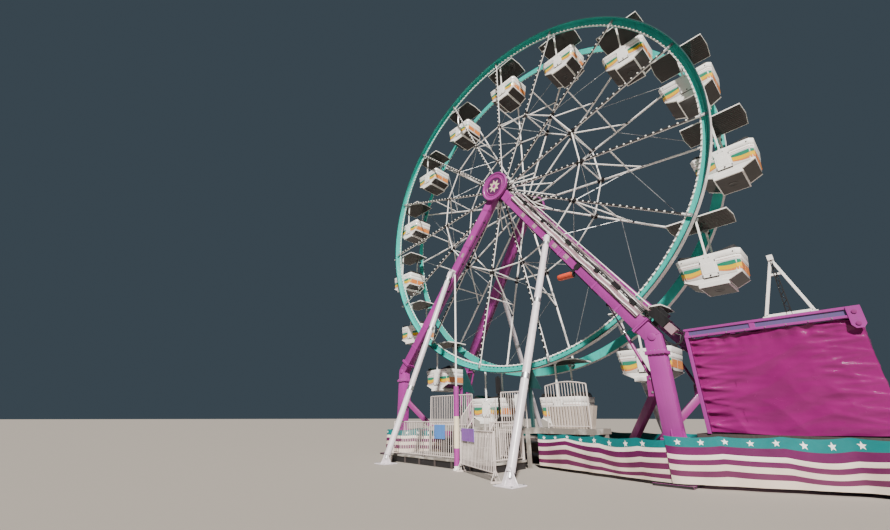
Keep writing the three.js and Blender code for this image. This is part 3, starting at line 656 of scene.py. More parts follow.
SPOKE_BULBS, SPOKE_BULB_PITCH = 28, 0.25
spoke_lamps = Stock()
for angle in SPOKE_ANGLES:
    face_y = -SPOKE_Y - TUBE_R
    beam(spoke_lamps, *span(0.75, 7.9, angle, face_y), 0.012, 0.06)
    for n in range(SPOKE_BULBS):
        bulb(spoke_lamps, on_wheel(0.9 + n * SPOKE_BULB_PITCH, angle, face_y - 0.005), -Y_AXIS)
piece("near_spoke_frame", spoke_frame(-1), frame_finishes, "near_spokes", "wheel")
piece("far_spoke_frame", spoke_frame(1).join(bracing()), frame_finishes, "far_spokes",
      "wheel")
piece("near_spoke_lamps", spoke_lamps, [black_enamel, opal_plastic], None, "wheel")

# Axle: a barrel with bolted flanges, drive ring and shaft ends
axle = Stock()
half = [(0.0, -1.36), (0.15, -1.36), (0.15, -0.86), (0.3, -0.85), (0.3, -0.8), (0.26, -0.78),
        (0.26, -0.34), (0.29, -0.32), (0.29, -0.26), (0.26, -0.24)]
turned(axle, half + [(r, -y) for r, y in reversed(half)], HUB, Y_AXIS, 48)
for side in (-1, 1):
    for n in range(16):
        bolt(axle, on_wheel(0.225, 22.5 * n, side * 0.855), Y_AXIS * side, 0.016)
piece("axle_barrel", axle, [greasy_steel, zinc], "axle", "wheel")

# Hub covers: a dished disc with a raised ring, a plain rosette and bolts round its edge
for depth, side in DEPTHS.items():
    cover, out = Stock(), Y_AXIS * side
    turned(cover, [(0.0, 1.37 + GAP), (0.4, 1.37 + GAP), (0.4, 1.45), (0.66, 1.45), (0.7, 1.465),
                   (0.7, 1.56), (0.685, 1.578), (0.655, 1.58), (0.62, 1.572), (0.6, 1.552),
                   (0.47, 1.548), (0.455, 1.566), (0.42, 1.566), (0.405, 1.55), (0.0, 1.55)],
           HUB, out, 96, [0, 2, 2, 0, 0, 0, 0, 0, 0, 0, 1, 1, 1, 3, 0])
    star = [HUB + outward(90 - 22.5 * n) * (0.17 if n % 2 else 0.33) for n in range(16)]
    slab(cover, [(p.x, p.z) for p in star], side * 1.548, side * 1.56, 5)
    turned(cover, [(0.0, 1.56), (0.1, 1.56), (0.09, 1.572), (0.0, 1.576)], HUB, out, 32)
    for n in range(24):
        bolt(cover, on_wheel(0.53, 15.0 * n, side * 1.549), out, 0.013, 4)
    piece(f"hub_disc_{depth}", cover, [pink_enamel, deep_pink_enamel, greasy_steel,
                                       purple_disc_enamel, zinc, cream_enamel],
          f"hub_cover_{depth}")

# Cabin: canopy on two hanger posts over a moulded tub with two benches, about its pin
WHITE, BROWN_AND_SHADE, TEAL, RED, GREEN, YELLOW, ORANGE, BLACK, BARE, PALE = range(10)
cabin_finishes = [white_gelcoat, brown_sheet_and_shade, teal_gelcoat, red_gelcoat, green_gelcoat,
                  yellow_gelcoat, orange_gelcoat, black_rubber, zinc, pale_gelcoat]
TUB_TOP, TUB_SIDE, TUB_CUT = -1.22, 0.6, 0.1


def tub_x(z):
    """Half the tub's length, which narrows downwards"""
    return 0.84 - 0.155 * (TUB_TOP - z)


def octagon(x, y, cut, z):
    return [(-x, -y + cut, z), (-x + cut, -y, z), (x - cut, -y, z), (x, -y + cut, z),
            (x, y - cut, z), (x - cut, y, z), (-x + cut, y, z), (-x, y - cut, z)]


def hexagon(shrink, z):
    x, y = 0.84 - shrink, 0.62 - shrink
    return [(-x - 0.05, 0, z), (-x, -y, z), (x, -y, z), (x + 0.05, 0, z), (x, y, z), (-x, y, z)]


def canopy(stock):
    """A flat six-sided lid: white edge and top, dark brown ribbed sheet underneath, darkened further
    as painted shade
    """
    loft(stock, [hexagon(*level) for level in ((0.014, 0.028), (0.014, 0.022), (0.002, 0.02),
                                               (0.0, 0.055), (0.012, 0.064), (0.32, 0.08))])
    loft(stock, [hexagon(0.015, 0.026), hexagon(0.015, 0.03)], BROWN_AND_SHADE)
    for n in range(12):
        y = -0.55 + n * 0.1
        block(stock, (-0.8, y - 0.008, 0.02), (0.8, y + 0.008, 0.027), BROWN_AND_SHADE)


def hanger(side):
    """The post that carries the tub from the pin, with its boss and foot"""
    stock, pin = Stock(), Y_AXIS * side
    slab(stock, [(-0.028, 0.03), (0.028, 0.03), (0.03, -0.2), (0.026, -1.24), (-0.026, -1.24),
                 (-0.03, -0.2)], side * 0.535, side * 0.588)
    slab(stock, [(-0.1, -1.34), (0.1, -1.34), (0.1, -1.3), (0.03, -1.2), (-0.03, -1.2),
                 (-0.1, -1.3)], side * 0.54, side * 0.604)
    stock.soften(0.006, 1)
    collar(stock, 0.0, 0.085, 0.52, 0.6, (0, 0, 0), pin, 20, BARE)
    pipe(stock, [pin * 0.59, pin * 0.8495], 0.034, 14, BARE)
    collar(stock, 0.035, 0.06, 0.76, 0.845, (0, 0, 0), pin, 16, BLACK)
    for x in (-0.06, 0.06):
        bolt(stock, (x, side * 0.604, -1.32), pin, 0.012, BARE)
    return stock


def tub():
    """Walls with two proud bands and a groove, benches, foot-well and sloping undersides"""
    stock = Stock()
    levels = [(-1.22, 0.012), (-1.228, 0.0), (-1.4, 0.0), (-1.406, 0.014), (-1.42, 0.014),
              (-1.426, 0.0), (-1.545, 0.0), (-1.553, 0.008), (-1.915, 0.008), (-1.93, 0.016)]
    loops = [octagon(tub_x(z) - inset, TUB_SIDE - inset, TUB_CUT, z) for z, inset in levels]
    loops += [octagon(0.695, 0.545, 0.03, -1.93), octagon(0.7, 0.55, 0.03, -1.745),
              octagon(0.775, 0.56, 0.06, -1.235), octagon(0.79, 0.57, 0.07, -1.22)]
    kinds = [WHITE] * 14
    # The groove's floor is black: painted shade under the upper band
    kinds[3], kinds[11] = BLACK, TEAL
    loft(stock, loops + [loops[0]], kinds, closed=False)
    for side in (-1, 1):
        bench = [(0.7, -1.75), (0.345, -1.75), (0.345, -2.2), (0.372, -2.2), (0.372, -2.1),
                 (0.7, -1.943)]
        slab(stock, [(side * x, z) for x, z in bench], -0.556, 0.556)
        # Each side goes on down to the foot-well, with a lip round the well
        slab(stock, [(-0.715, -1.928), (0.715, -1.928), (0.375, -2.095), (-0.375, -2.095)],
             side * 0.553, side * 0.584)
        block(stock, (-0.372, side * 0.553, -2.2), (0.372, side * 0.598, -2.06))
    block(stock, (-0.35, -0.556, -2.2), (0.35, 0.556, -2.178))
    stock.soften(0.005, 1)
    # Sloping undersides and the well's foot: a ribbed sheet in white edging, whose dark brown is
    # painted shade
    for sx in (-1, 1):
        top, low = Vector((sx * 0.722, 0, -1.934)), Vector((sx * 0.385, 0, -2.096))
        along = (low - top).normalized()
        out = Vector((along.z, 0, -along.x)) * sx
        beam(stock, top + out * 0.004, low + out * 0.004, 1.07, 0.01, finish=BROWN_AND_SHADE)
        for n in range(9):
            rib = out * 0.012 + Y_AXIS * (-0.48 + n * 0.12)
            beam(stock, top + along * 0.02 + rib, low - along * 0.01 + rib, 0.025, 0.01,
                 finish=BROWN_AND_SHADE)
        for y in (-0.565, 0.565):
            edge = out * 0.006 + Y_AXIS * y
            beam(stock, top + edge, low + edge, 0.05, 0.018)
        block(stock, (sx * 0.37, -0.55, -2.195), (sx * 0.377, 0.55, -2.1))
    block(stock, (-0.34, -0.55, -2.209), (0.34, 0.55, -2.199), BROWN_AND_SHADE)
    turned(stock, [(0.0, 0.0), (0.13, 0.0), (0.13, 0.006), (0.11, 0.006), (0.1, 0.001),
                   (0.0, 0.001)], (0, 0, -2.209), -Z_AXIS, 24, BLACK)
    return stock


# Fine lines, then leaf green over yellow over orange, swelling towards the end. For each: how
# far it stands off, and for both edges the height at the door, the bow and the fall to the end
RIBBONS = [(RED, 0.0105, (-1.478, 0.0, 0.0), (-1.487, 0.0, 0.0)),
           (PALE, 0.003, (-1.553, 0.0, 0.0), (-1.566, 0.0, 0.0)),
           (GREEN, 0.003, (-1.58, 0.012, 0.0), (-1.645, -0.045, 0.0)),
           (YELLOW, 0.003, (-1.649, -0.045, 0.0), (-1.76, -0.05, 0.0)),
           (ORANGE, 0.003, (-1.764, -0.05, 0.0), (-1.795, -0.055, -0.03))]
RIBBON_STEPS, RIBBON_START = 12, 0.215


def ribbon(stock, sx, sy, finish, lift, *edges):
    """A painted band on the tub's side, from the door round the corner to the end"""
    points = []
    total = tub_x(-1.7) + TUB_CUT * 0.36 - RIBBON_START
    for i in range(RIBBON_STEPS + 1):
        share = i / RIBBON_STEPS
        run = RIBBON_START + total * share
        for height, bow, fall in edges:
            z = height + bow * math.sin(math.pi * share) + fall * share
            corner = tub_x(z) - TUB_CUT
            bend = max(0.0, run - corner) * 0.7071
            x = min(run, corner) + bend + (lift * 0.7 if bend else 0)
            points.append((sx * x, sy * (TUB_SIDE - 0.008 - bend + lift), z))
    stock.take(points, [(i, i + 2, i + 3, i + 1) for i in range(0, 2 * RIBBON_STEPS, 2)], finish)


def seat_surround(stock, sx):
    """Black padded rail that stands on the tub's rim behind a bench and round its ends"""
    stations = [(0.24, 0.575, -1.2), (0.42, 0.575, -1.165), (0.6, 0.572, -1.13),
                (0.72, 0.56, -1.1), (0.79, 0.49, -1.075), (0.812, 0.36, -1.062)]
    loops = []
    for x, y, z in [(x, -y, z) for x, y, z in stations] + stations[::-1]:
        rise = (z + 1.24) / 0.18
        lean = 0.07 * rise * max(0.0, (x - 0.5) / 0.31)
        tuck = 1 - 0.05 * rise
        loops.append([(sx * x, y, -1.24), (sx * (x - lean), y * tuck, z - 0.012),
                      (sx * (x - lean - 0.012), y * tuck * 0.985, z),
                      (sx * (x - lean - 0.034), y * tuck * 0.96, z - 0.012),
                      (sx * (x - 0.034), y * 0.95, -1.24)])
    loft(stock, loops, BLACK)


def cabin_trim():
    """Doors, painted bands, seats and the small fittings"""
    stock = Stock()
    for sy in (-1, 1):
        door, out = Stock(), Y_AXIS * sy
        slab(door, [(-0.2, -1.345), (0.2, -1.345), (0.2, -1.9), (0.17, -1.925), (-0.17, -1.925),
                    (-0.2, -1.9)], sy * 0.59, sy * 0.61)
        block(door, (-0.15, sy * 0.606, -1.82), (0.15, sy * 0.614, -1.5))
        stock.join(door.soften(0.005, 1))
        block(stock, (-0.19, sy * 0.575, -1.95), (0.19, sy * 0.597, -1.925), BLACK)
        for x in (-0.19, 0.19):
            for z in (-1.45, -1.86):
                block(stock, (x - 0.015, sy * 0.6, z - 0.028), (x + 0.015, sy * 0.617, z + 0.028),
                      BARE)
        turned(stock, [(0.0, 0.0), (0.02, 0.0), (0.024, 0.012), (0.014, 0.024), (0.0, 0.026)],
               (0.0, sy * 0.611, -1.875), out, 14, BLACK)
        for sx in (-1, 1):
            for band in RIBBONS:
                ribbon(stock, sx, sy, *band)
            # Knob near the outer end of the upper band
            turned(stock, [(0.0, 0.0), (0.017, 0.0), (0.017, 0.012), (0.0, 0.016)],
                   (sx * 0.66, sy * 0.6, -1.31), out, 12, BLACK)
    for sx in (-1, 1):
        for y0, y1 in ((-0.47, -0.02), (0.02, 0.47)):
            loft(stock, [[(sx * (tub_x(z) + out), y, z) for y, z in (
                (y0, -1.6), (y1, -1.6), (y1, -1.84), (y0, -1.84))] for out in (-0.018, -0.004)],
                ORANGE)
        # Seat shell: pan and back in teal over the bench
        seat = Stock()
        slab(seat, [(sx * x, z) for x, z in ((0.335, -1.752), (0.345, -1.715), (0.6, -1.73),
                                             (0.665, -1.7), (0.735, -1.27), (0.765, -1.25),
                                             (0.7, -1.752))], -0.53, 0.53, TEAL)
        stock.join(seat.soften(0.012))
        seat_surround(stock, sx)
    return stock


cabin, cabin_mesh = Stock(), None
canopy(cabin)
for part in (hanger(-1), hanger(1), tub(), cabin_trim()):
    cabin.join(part)
for k, angle in enumerate(SPOKE_ANGLES):
    number = f"{k + 1:02d}"
    cabin_mesh = piece(f"swing_cabin_{number}", cabin, cabin_finishes, f"cabin_{number}",
                       f"swing_{number}", 30.0, cabin_mesh,
                       on_wheel(PIN_R, angle, 0.0)).data

# Legs: box sections with softened edges, straps, plates and seams
FLANGE_ALONG = 9.22
KNEE_JOINT = (3.03, 3.13)


def leg(sx, sy):
    stock, spot = Stock(), on_leg(sx, sy)
    half, deep = LEG_W / 2, LEG_D / 2
    bare, dark, beige = 2, 3, 4
    x, y = sx * LEG_X, sy * LEG_FOOT_Y
    # The leaning part from the bearing and the column under it, as two closed boxes
    mitre = half * math.tan(math.atan2(LEG_X, HUB.z - KNEE_Z) / 2)
    arc = [half * n / 5 for n in (5, 3, 1, -1, -3, -5)]
    lean, upright = [], []
    for out in (-deep, deep):
        outer = tower_point(LEG_X + half, KNEE_Z + mitre, sx, sy, out)
        inner = tower_point(LEG_X - half, KNEE_Z - mitre, sx, sy, out)
        lean.append([outer] + [spot(math.sqrt(BEARING_R ** 2 - c ** 2), c, out) for c in arc]
                    + [inner])
        upright.append([at(x + sx * i * half, y + sy * out, LEG_FOOT_Z) for i in (-1, 1)]
                       + [outer, inner])
    loft(stock, lean)
    loft(stock, upright)
    for low, high, reach in ((LEG_FOOT_Z, LEG_FOOT_Z + 0.04, 0.07), (*KNEE_JOINT, 0.045)):
        pad(stock, x, y, half + reach, deep + reach, low, high)
    stock.soften(0.01)
    down = (spot(2) - spot(1)).normalized()
    wide = (spot(1, 1) - spot(1)).normalized()
    face = wide.cross(down).normalized()
    face = face if face.y * sy > 0 else -face
    a, b = half + 0.004, deep + 0.004
    for along in (1.15, 3.05, 5.35, 7.3, 8.4):
        for n in (-1, 1):
            beam(stock, spot(along, -a, n * b), spot(along, a, n * b), 0.01, 0.07, face)
            beam(stock, spot(along, n * a, -b), spot(along, n * a, b), 0.01, 0.07, wide)
    # Bolted flanges where the leaning part meets the knee
    for along in (FLANGE_ALONG, FLANGE_ALONG + 0.05):
        beam(stock, spot(along), spot(along + 0.04), LEG_D + 0.1, LEG_W + 0.1, face)
    for i in range(5):
        for j in (-1, 1):
            bolt(stock, spot(FLANGE_ALONG, -0.2 + 0.1 * i, j * (deep + 0.025)), -down, 0.014, bare)
            # The joint below the knee
            for z, out in zip(KNEE_JOINT, (-Z_AXIS, Z_AXIS)):
                bolt(stock, at(x - 0.2 + 0.1 * i, y + j * (deep + 0.022), z), out, 0.014, bare)
    # Bare pale plates along the outer face, and small dark clips under the lower edge
    for along in (2.6, 3.52, 4.97, 5.7):
        beam(stock, spot(along - 0.11, -0.06, deep + 0.003), spot(along + 0.11, -0.06, deep + 0.003),
             0.008, 0.16, face, beige)
        for a in (-0.08, 0.08):
            bolt(stock, spot(along + a, -0.06, deep + 0.007), face, 0.011, bare)
    for n in range(9):
        along = 1.7 + 0.72 * n
        beam(stock, spot(along, -half - 0.02, 0.05), spot(along + 0.06, -half - 0.02, 0.05), 0.09,
             0.045, face, dark)
    pipe(stock, [spot(1.6, -half - 0.035, 0.05), spot(7.6, -half - 0.035, 0.05)], 0.014, 8, dark)
    # Bolts and gussets at the foot, and a boss on each side of the knee
    corner_bolts(stock, x, y, LEG_FOOT_Z + 0.04, half + 0.04, deep + 0.04, 0.02, bare)
    for i in (-1, 1):
        for centre, reach, across, along_x in ((x + HUB.x, half, y, False),
                                               (y, deep, x + HUB.x, True)):
            slab(stock, [(centre + i * reach, 0.99), (centre + i * (reach + 0.065), 0.99),
                         (centre + i * reach, 1.2)], across - 0.01, across + 0.01, 0, along_x)
        turned(stock, [(0.0, 0.0), (0.1, 0.0), (0.1, 0.02), (0.07, 0.03), (0.0, 0.03)],
               at(x, y + i * deep, KNEE_Z), Y_AXIS * i, 24)
    return stock


def cable_ladder(stock):
    """Side rails, rungs and sagging cables along the near right leg's upper edge"""
    spot, face = on_leg(1, -1), -Y_AXIS
    white, bare, dark, beige = 1, 2, 3, 4

    def bar(start, end, width, depth, finish=beige):
        beam(stock, spot(*start), spot(*end), width, depth, face, finish)
    for across in (0.235, 0.46):
        bar((1.3, across, 0.105), (9.1, across, 0.105), 0.12, 0.03)
    bar((1.35, 0.15, 0.182), (9.0, 0.15, 0.182), 0.034, 0.13)
    bar((1.35, 0.078, 0.18), (9.0, 0.078, 0.18), 0.03, 0.016, dark)
    for n in range(31):
        along = 1.4 + 0.25 * n
        bar((along, 0.235, 0.075), (along, 0.46, 0.075), 0.03, 0.05)
        if n % 3 == 1:
            bar((along, 0.09, 0.203), (along, 0.21, 0.203), 0.01, 0.03, bare)
    for across, out, radius, kind, phase in (
            (0.275, 0.12, 0.026, white, 0.0), (0.32, 0.13, 0.02, dark, 2.0),
            (0.365, 0.12, 0.03, dark, 4.1), (0.415, 0.125, 0.022, white, 5.2),
            (0.15, 0.215, 0.018, white, 1.0)):
        run = [spot(1.35 + 0.15 * n, across + 0.012 * math.sin(n * 0.9 + phase),
                    out + 0.01 * math.sin(n * 0.6 + phase)) for n in range(52)]
        pipe(stock, run, radius, 8, kind)
    # Junction boxes among the cables
    for along, across, long_way in ((2.1, 0.36, 0.2), (3.6, 0.3, 0.14), (5.2, 0.36, 0.26),
                                    (6.9, 0.3, 0.16), (7.7, 0.36, 0.3), (8.5, 0.34, 0.2)):
        bar((along, across, 0.15), (along + long_way, across, 0.15), 0.09, 0.13, dark)
    # Dark gear box with a pale cover on a bracket beside the knee, at the ladder's foot
    bar((9.45, 0.2, 0.06), (9.45, 0.42, 0.06), 0.06, 0.16, dark)
    bar((9.16, 0.5, 0.08), (9.7, 0.5, 0.08), 0.2, 0.27, dark)
    bar((9.22, 0.67, 0.06), (9.56, 0.67, 0.06), 0.12, 0.1, dark)
    bar((9.71, 0.48, 0.08), (9.98, 0.48, 0.08), 0.14, 0.2)
    for across, swell in ((0.44, 0.08), (0.53, 0.12)):
        pipe(stock, [spot(9.96, across, 0.08), spot(10.12, across + swell, 0.08),
                     spot(10.25, across - swell, 0.08), spot(10.2, 0.2, 0.08)], 0.02, 8, dark)
    # Handrail standing off above the ladder
    pipe(stock, [spot(1.6, 0.56, 0.1), spot(9.0, 0.56, 0.1)], 0.016, 8, white)
    for n in range(7):
        along = 1.7 + 1.22 * n
        bar((along, 0.46, 0.1), (along, 0.56, 0.1), 0.02, 0.02)


for corner, sx, sy in CORNERS:
    tower = leg(sx, sy)
    if sx > 0 and sy < 0:
        cable_ladder(tower)
    piece(f"leg_{corner}", tower, [pink_enamel, white_enamel, zinc, black_enamel, beige_enamel],
          f"tower_{corner}")

# Cross beams: box beam with bearing plates, screw jacks and boarded pads
JACK_Y = 2.46
for hand, sx in HANDS.items():
    stock = Stock()
    x = sx * LEG_X
    pad(stock, x, 0, 0.15, 2.56, TRAILER_Z, 0.95)
    pad(stock, x, 0, 0.04, 2.79 - GAP, 0.84, 0.92)
    for jack in (-JACK_Y, JACK_Y):
        pad(stock, x, math.copysign(LEG_FOOT_Y, jack), 0.285, 0.235, 0.91, 0.95)
        pad(stock, x, jack, 0.08, 0.08, 0.3, 0.7, 1)
        pad(stock, x, jack, 0.2, 0.2, 0.06, 0.085, 1)
    stock.soften(0.008)
    for jack in (-JACK_Y, JACK_Y):
        pipe(stock, [at(x, jack, 0.08), at(x, jack, 0.32)], 0.058, 20, 1)
        collar(stock, 0.06, 0.1, 0.0, 0.05, at(x, jack, 0.24), Z_AXIS, 12, 2)
        for n in range(5):
            board = Stock()
            pad(board, x, jack + (n - 2) * 0.172, 0.43, 0.084, 0.0, 0.06, 2)
            stock.join(board.soften(0.005, 1))
        corner_bolts(stock, x, jack, 0.085, 0.15, 0.15, 0.016)
    piece(f"jacked_beam_{hand}", stock, [deep_pink_enamel, zinc, black_rubber],
          f"cross_beam_{hand}")


# Knee braces: box strut with bolted feet, and a ram with a bright rod above it
def knee_brace(sx, sy):
    stock = Stock()
    bare, bright, dark = 1, 2, 3
    foot_x, foot_y, wall_y = sx * 4.075, sy * 1.08, sy * LEG_FOOT_Y
    beam(stock, at(sx * 5.36, sy * 1.963, 2.133), at(foot_x, sy * 1.105, 0.7), 0.21, 0.15, Z_AXIS)
    pad(stock, foot_x, foot_y, 0.225, 0.12, TRAILER_Z, 0.68)
    block(stock, at(sx * 5.3, wall_y - 0.09, 2.0),
          at(sx * (LEG_X - LEG_W / 2 - GAP), wall_y + 0.09, 2.5))
    stock.soften(0.01)
    for n in (-1, 1):
        y = wall_y + n * 0.105
        slab(stock, [(HUB.x + sx * x, z) for x, z in ((5.38, 1.98), (5.2, 1.98), (5.24, 2.5),
                                                      (5.38, 2.52))], y - 0.008, y + 0.008)
        for z in (2.08, 2.42):
            bolt(stock, at(sx * 5.32, y + n * 0.008, z), Y_AXIS * n, 0.022, bare)
    base = at(sx * 5.34, wall_y, 2.42)
    head = on_leg(sx, sy)(8.05, -LEG_W / 2 - 0.03)
    mid = base.lerp(head, 0.55)
    pipe(stock, [base, mid], 0.045, 18)
    pipe(stock, [mid, base.lerp(head, 0.58)], 0.05, 18, dark)
    pipe(stock, [mid, head], 0.026, 14, bright)
    collar(stock, 0.0, 0.055, -0.05, 0.05, head, Y_AXIS, 18, dark)
    corner_bolts(stock, foot_x, foot_y, 0.68, 0.17, 0.08, 0.016)
    return stock


for corner, sx, sy in CORNERS:
    piece(f"knee_strut_{corner}", knee_brace(sx, sy),
          [deep_pink_enamel, zinc, chrome, black_enamel], f"knee_brace_{corner}")

# Outriggers: telescoping round tubes from a pinned bracket to a wide plate on the ground
OUTRIGGER_FEET = {-1: (2.7, 4.9), 1: (3.0, 5.45)}


def outrigger(sx, sy):
    stock, spot, face = Stock(), on_leg(sx, sy), Y_AXIS * sy
    foot_x, foot_y = OUTRIGGER_FEET[sx]
    head, foot = spot(4.5, 0.0, LADDER_DEPTH + 0.13), at(sx * foot_x, sy * foot_y, 0.16)
    for start, end, radius, sides, kind in (
            (0.0, 0.985, 0.11, 28, 0), (0.04, 0.06, 0.116, 28, 1), (0.36, 0.38, 0.116, 28, 1),
            (0.68, 0.7, 0.116, 28, 1), (0.965, 1.0, 0.085, 20, 1)):
        pipe(stock, [head.lerp(foot, start), head.lerp(foot, end)], radius, sides, kind)
    for across in (-0.125, 0.125):
        beam(stock, spot(4.36, across, LADDER_DEPTH + 0.075),
             spot(4.64, across, LADDER_DEPTH + 0.075), 0.15, 0.02, face)
    beam(stock, spot(4.32, 0, LADDER_DEPTH + 0.01), spot(4.68, 0, LADDER_DEPTH + 0.01), 0.02, 0.34,
         face)
    pipe(stock, [spot(4.5, across, LADDER_DEPTH + 0.09) for across in (-0.15, 0.15)], 0.03, 14, 1)
    for a in (-0.14, 0.14):
        for b in (-0.14, 0.14):
            bolt(stock, spot(4.5 + a, b, LADDER_DEPTH + 0.02), face, 0.018)
    plate = Stock()
    x, y = foot.x, foot.y
    pad(plate, sx * foot_x, y, 0.28, 0.28, 0.0, 0.03)
    slab(plate, [(x - 0.25, 0.02), (x + 0.25, 0.02), (x + 0.06, 0.4), (x - 0.06, 0.4)],
         y - 0.015, y + 0.015)
    slab(plate, [(y - 0.22, 0.02), (y + 0.22, 0.02), (y + 0.06, 0.3), (y - 0.06, 0.3)],
         x - 0.015, x + 0.015, 0, True)
    stock.join(plate.soften(0.006, 1))
    corner_bolts(stock, sx * foot_x, y, 0.03, 0.23, 0.23, 0.022)
    return stock


for corner, sx, sy in CORNERS:
    piece(f"outrigger_tube_{corner}", outrigger(sx, sy), [silver_enamel, zinc],
          f"outrigger_{corner}")


# Cloth hung along a path: waves that grow towards the free edge
CLOTH_FOLD = 60.0


def sheet_of(rows, columns, kinds):
    """Faces between rows of points, each row of faces with its own finish"""
    wide = columns + 1
    faces = [(a, a + 1, a + wide + 1, a + wide) for row in range(len(kinds))
             for a in range(row * wide, row * wide + columns)]
    return Stock().take(rows, faces, [kind for kind in kinds for _ in range(columns)])


class Hanging:
    """A strip of cloth on a path in plan, as a surface that stars can be sewn to"""

    WAVE, SAG, CORNER, TIE_PITCH = 0.026, 0.045, 0.12, 1.15

    def __init__(self, path, outward, low, top, seed):
        path = [Vector((x + HUB.x, y)) for x, y in path]
        self.run = [(0.0, path[0])]
        for a, b in zip(path, path[1:]):
            self.run.append((self.run[-1][0] + (b - a).length, b))
        self.length = self.run[-1][0]
        self.outward, self.low, self.top, self.seed = outward, low, top, seed

    def raw(self, s):
        """The place on the path at a distance from its start"""
        s = min(max(s, 0.0), self.length)
        for (s0, a), (s1, b) in zip(self.run, self.run[1:]):
            if s <= s1:
                return a.lerp(b, (s - s0) / (s1 - s0))
        return self.run[-1][1]

    def noise(self, x, y, shift):
        return noise.noise(Vector((x, y, self.seed + shift)))

    def settle(self, s, reach, z):
        """A point off the path, with the path's corners rounded, between the cloth's edges"""
        corner = self.CORNER
        place = (self.raw(s - corner) + self.raw(s) * 2 + self.raw(s + corner)) / 4
        way = (self.raw(s + corner * 1.5) - self.raw(s - corner * 1.5)).normalized()
        spot = place + Vector((way.y, -way.x)) * (self.outward * reach)
        return Vector((spot.x, spot.y, min(max(z, self.low), self.top)))

    def point(self, s, share, lift=0.0):
        """s runs along the cloth and share from its top edge (0) to its foot (1)"""
        slow, quick = self.noise(s * 0.8, share * 0.6, 0), self.noise(s * 3.2, share * 0.8, 7)
        fold = math.sin(s * 7.0 + 4.0 * slow) * 0.55 + quick * 0.9
        section = (s / self.TIE_PITCH) % 1.0
        drop = self.SAG * 4 * section * (1 - section)
        rise = 0.35 * self.SAG * noise.noise(Vector((s * 1.3, self.seed, 3.0)))
        sway = 0.16 * noise.noise(Vector((s * 0.5, self.seed, 9.0))) * share * (1 - share) * 4
        z = self.top + (self.low - self.top) * share - drop * (1 - 0.6 * share)
        z += rise * (1 - share) + sway
        return self.settle(s, self.WAVE * (0.25 + 0.75 * share) * fold + lift, z)


def striped(strip, bands, step=0.06):
    """The strip as a grid of faces, with rows that end where its bands do"""
    shares, kinds = [0.0], []
    total = sum(height for height, _ in bands)
    for height, kind in bands:
        rows, first = max(1, round(height / 0.05)), shares[-1]
        shares += [first + height / total * (n + 1) / rows for n in range(rows)]
        kinds += [kind] * rows
    columns = max(2, round(strip.length / step))
    return sheet_of([strip.point(strip.length * i / columns, share) for share in shares
                     for i in range(columns + 1)], columns, kinds)


def stars(strip, places, share, radius):
    """Five-pointed stars laid on the strip, following its folds"""
    stock = Stock()
    tall = strip.top - strip.low
    for s in places:
        ring = []
        for n in range(10):
            r, a = radius * (0.42 if n % 2 else 1.0), math.pi / 5 * n
            ring.append(strip.point(s + r * math.sin(a), share - r * math.cos(a) / tall, 0.003))
        stock.take([strip.point(s, share, 0.0035)] + ring,
                   [(0, n + 1, (n + 1) % 10 + 1) for n in range(10)])
    return stock


SKIRT_LOW, SKIRT_TOP, SKIRT_RIGHT_TOP = 0.08, 1.0, 1.075
SKIRT_END = 9.6689
STAR_PITCH, STAR_SHARE, STAR_R = 0.47, 0.11, 0.075
RIGHT_BANDS = [(0.21, 0), (0.17, 1), (0.1, 2), (0.11, 1), (0.12, 2), (0.12, 1), (0.17, 2)]
LEFT_BANDS = [(0.23, 0), (0.11, 2), (0.13, 1), (0.13, 2), (0.14, 1), (0.18, 2)]
MIDDLE_BANDS = [(0.17, 0), (0.09, 2), (0.13, 1), (0.11, 2), (0.13, 1), (0.1, 2), (0.1, 1),
                (0.09, 2)]
skirt_paths = {
    "near_left": ([(-6.96, 1.2), (-6.96, -1.36), (-5.75, -2.8), (-5.45, -2.8), (-4.2, -1.6),
                   (-3.46, -1.6)], LEFT_BANDS, 1),
    "near_middle": ([(1.52, -2.03), (5.45, -2.8), (5.76, -2.8)], MIDDLE_BANDS, 1),
    "near_right": ([(5.56, -2.81), (5.75, -2.81), (8.7, -1.36), (SKIRT_END, -1.36),
                    (SKIRT_END, 1.2)], RIGHT_BANDS, 1),
    "far": ([(-6.96, 1.36), (-5.75, 2.8), (-5.45, 2.8), (-4.2, 1.6), (4.2, 1.6), (5.45, 2.8),
             (5.75, 2.8), (8.7, 1.36), (SKIRT_END, 1.36)], LEFT_BANDS, -1),
}
for seed, (name, (path, bands, outside)) in enumerate(skirt_paths.items()):
    top = SKIRT_RIGHT_TOP if name == "near_right" else SKIRT_TOP
    strip = Hanging(path, outside, SKIRT_LOW, top, 11.0 * seed + 2.0)
    cad_skirt = None if name == "near_middle" else f"skirt_{name}"
    cloth = piece(f"skirt_cloth_{name}", striped(strip, bands),
                  [teal_cloth, magenta_cloth, white_cloth], cad_skirt,
                  fold=CLOTH_FOLD)
    count = int((strip.length - 0.4) / STAR_PITCH)
    row = stars(strip, [0.3 + STAR_PITCH * n for n in range(count)], STAR_SHARE, STAR_R)
    sewn = piece(f"skirt_stars_{name}", row, [star_cloth], None, fold=CLOTH_FOLD)

# Tarpaulin: one length laced along the rails and wrapped round the end, a roof and a front
COVER_LOW, COVER_TOP = 1.08 + GAP, 3.5


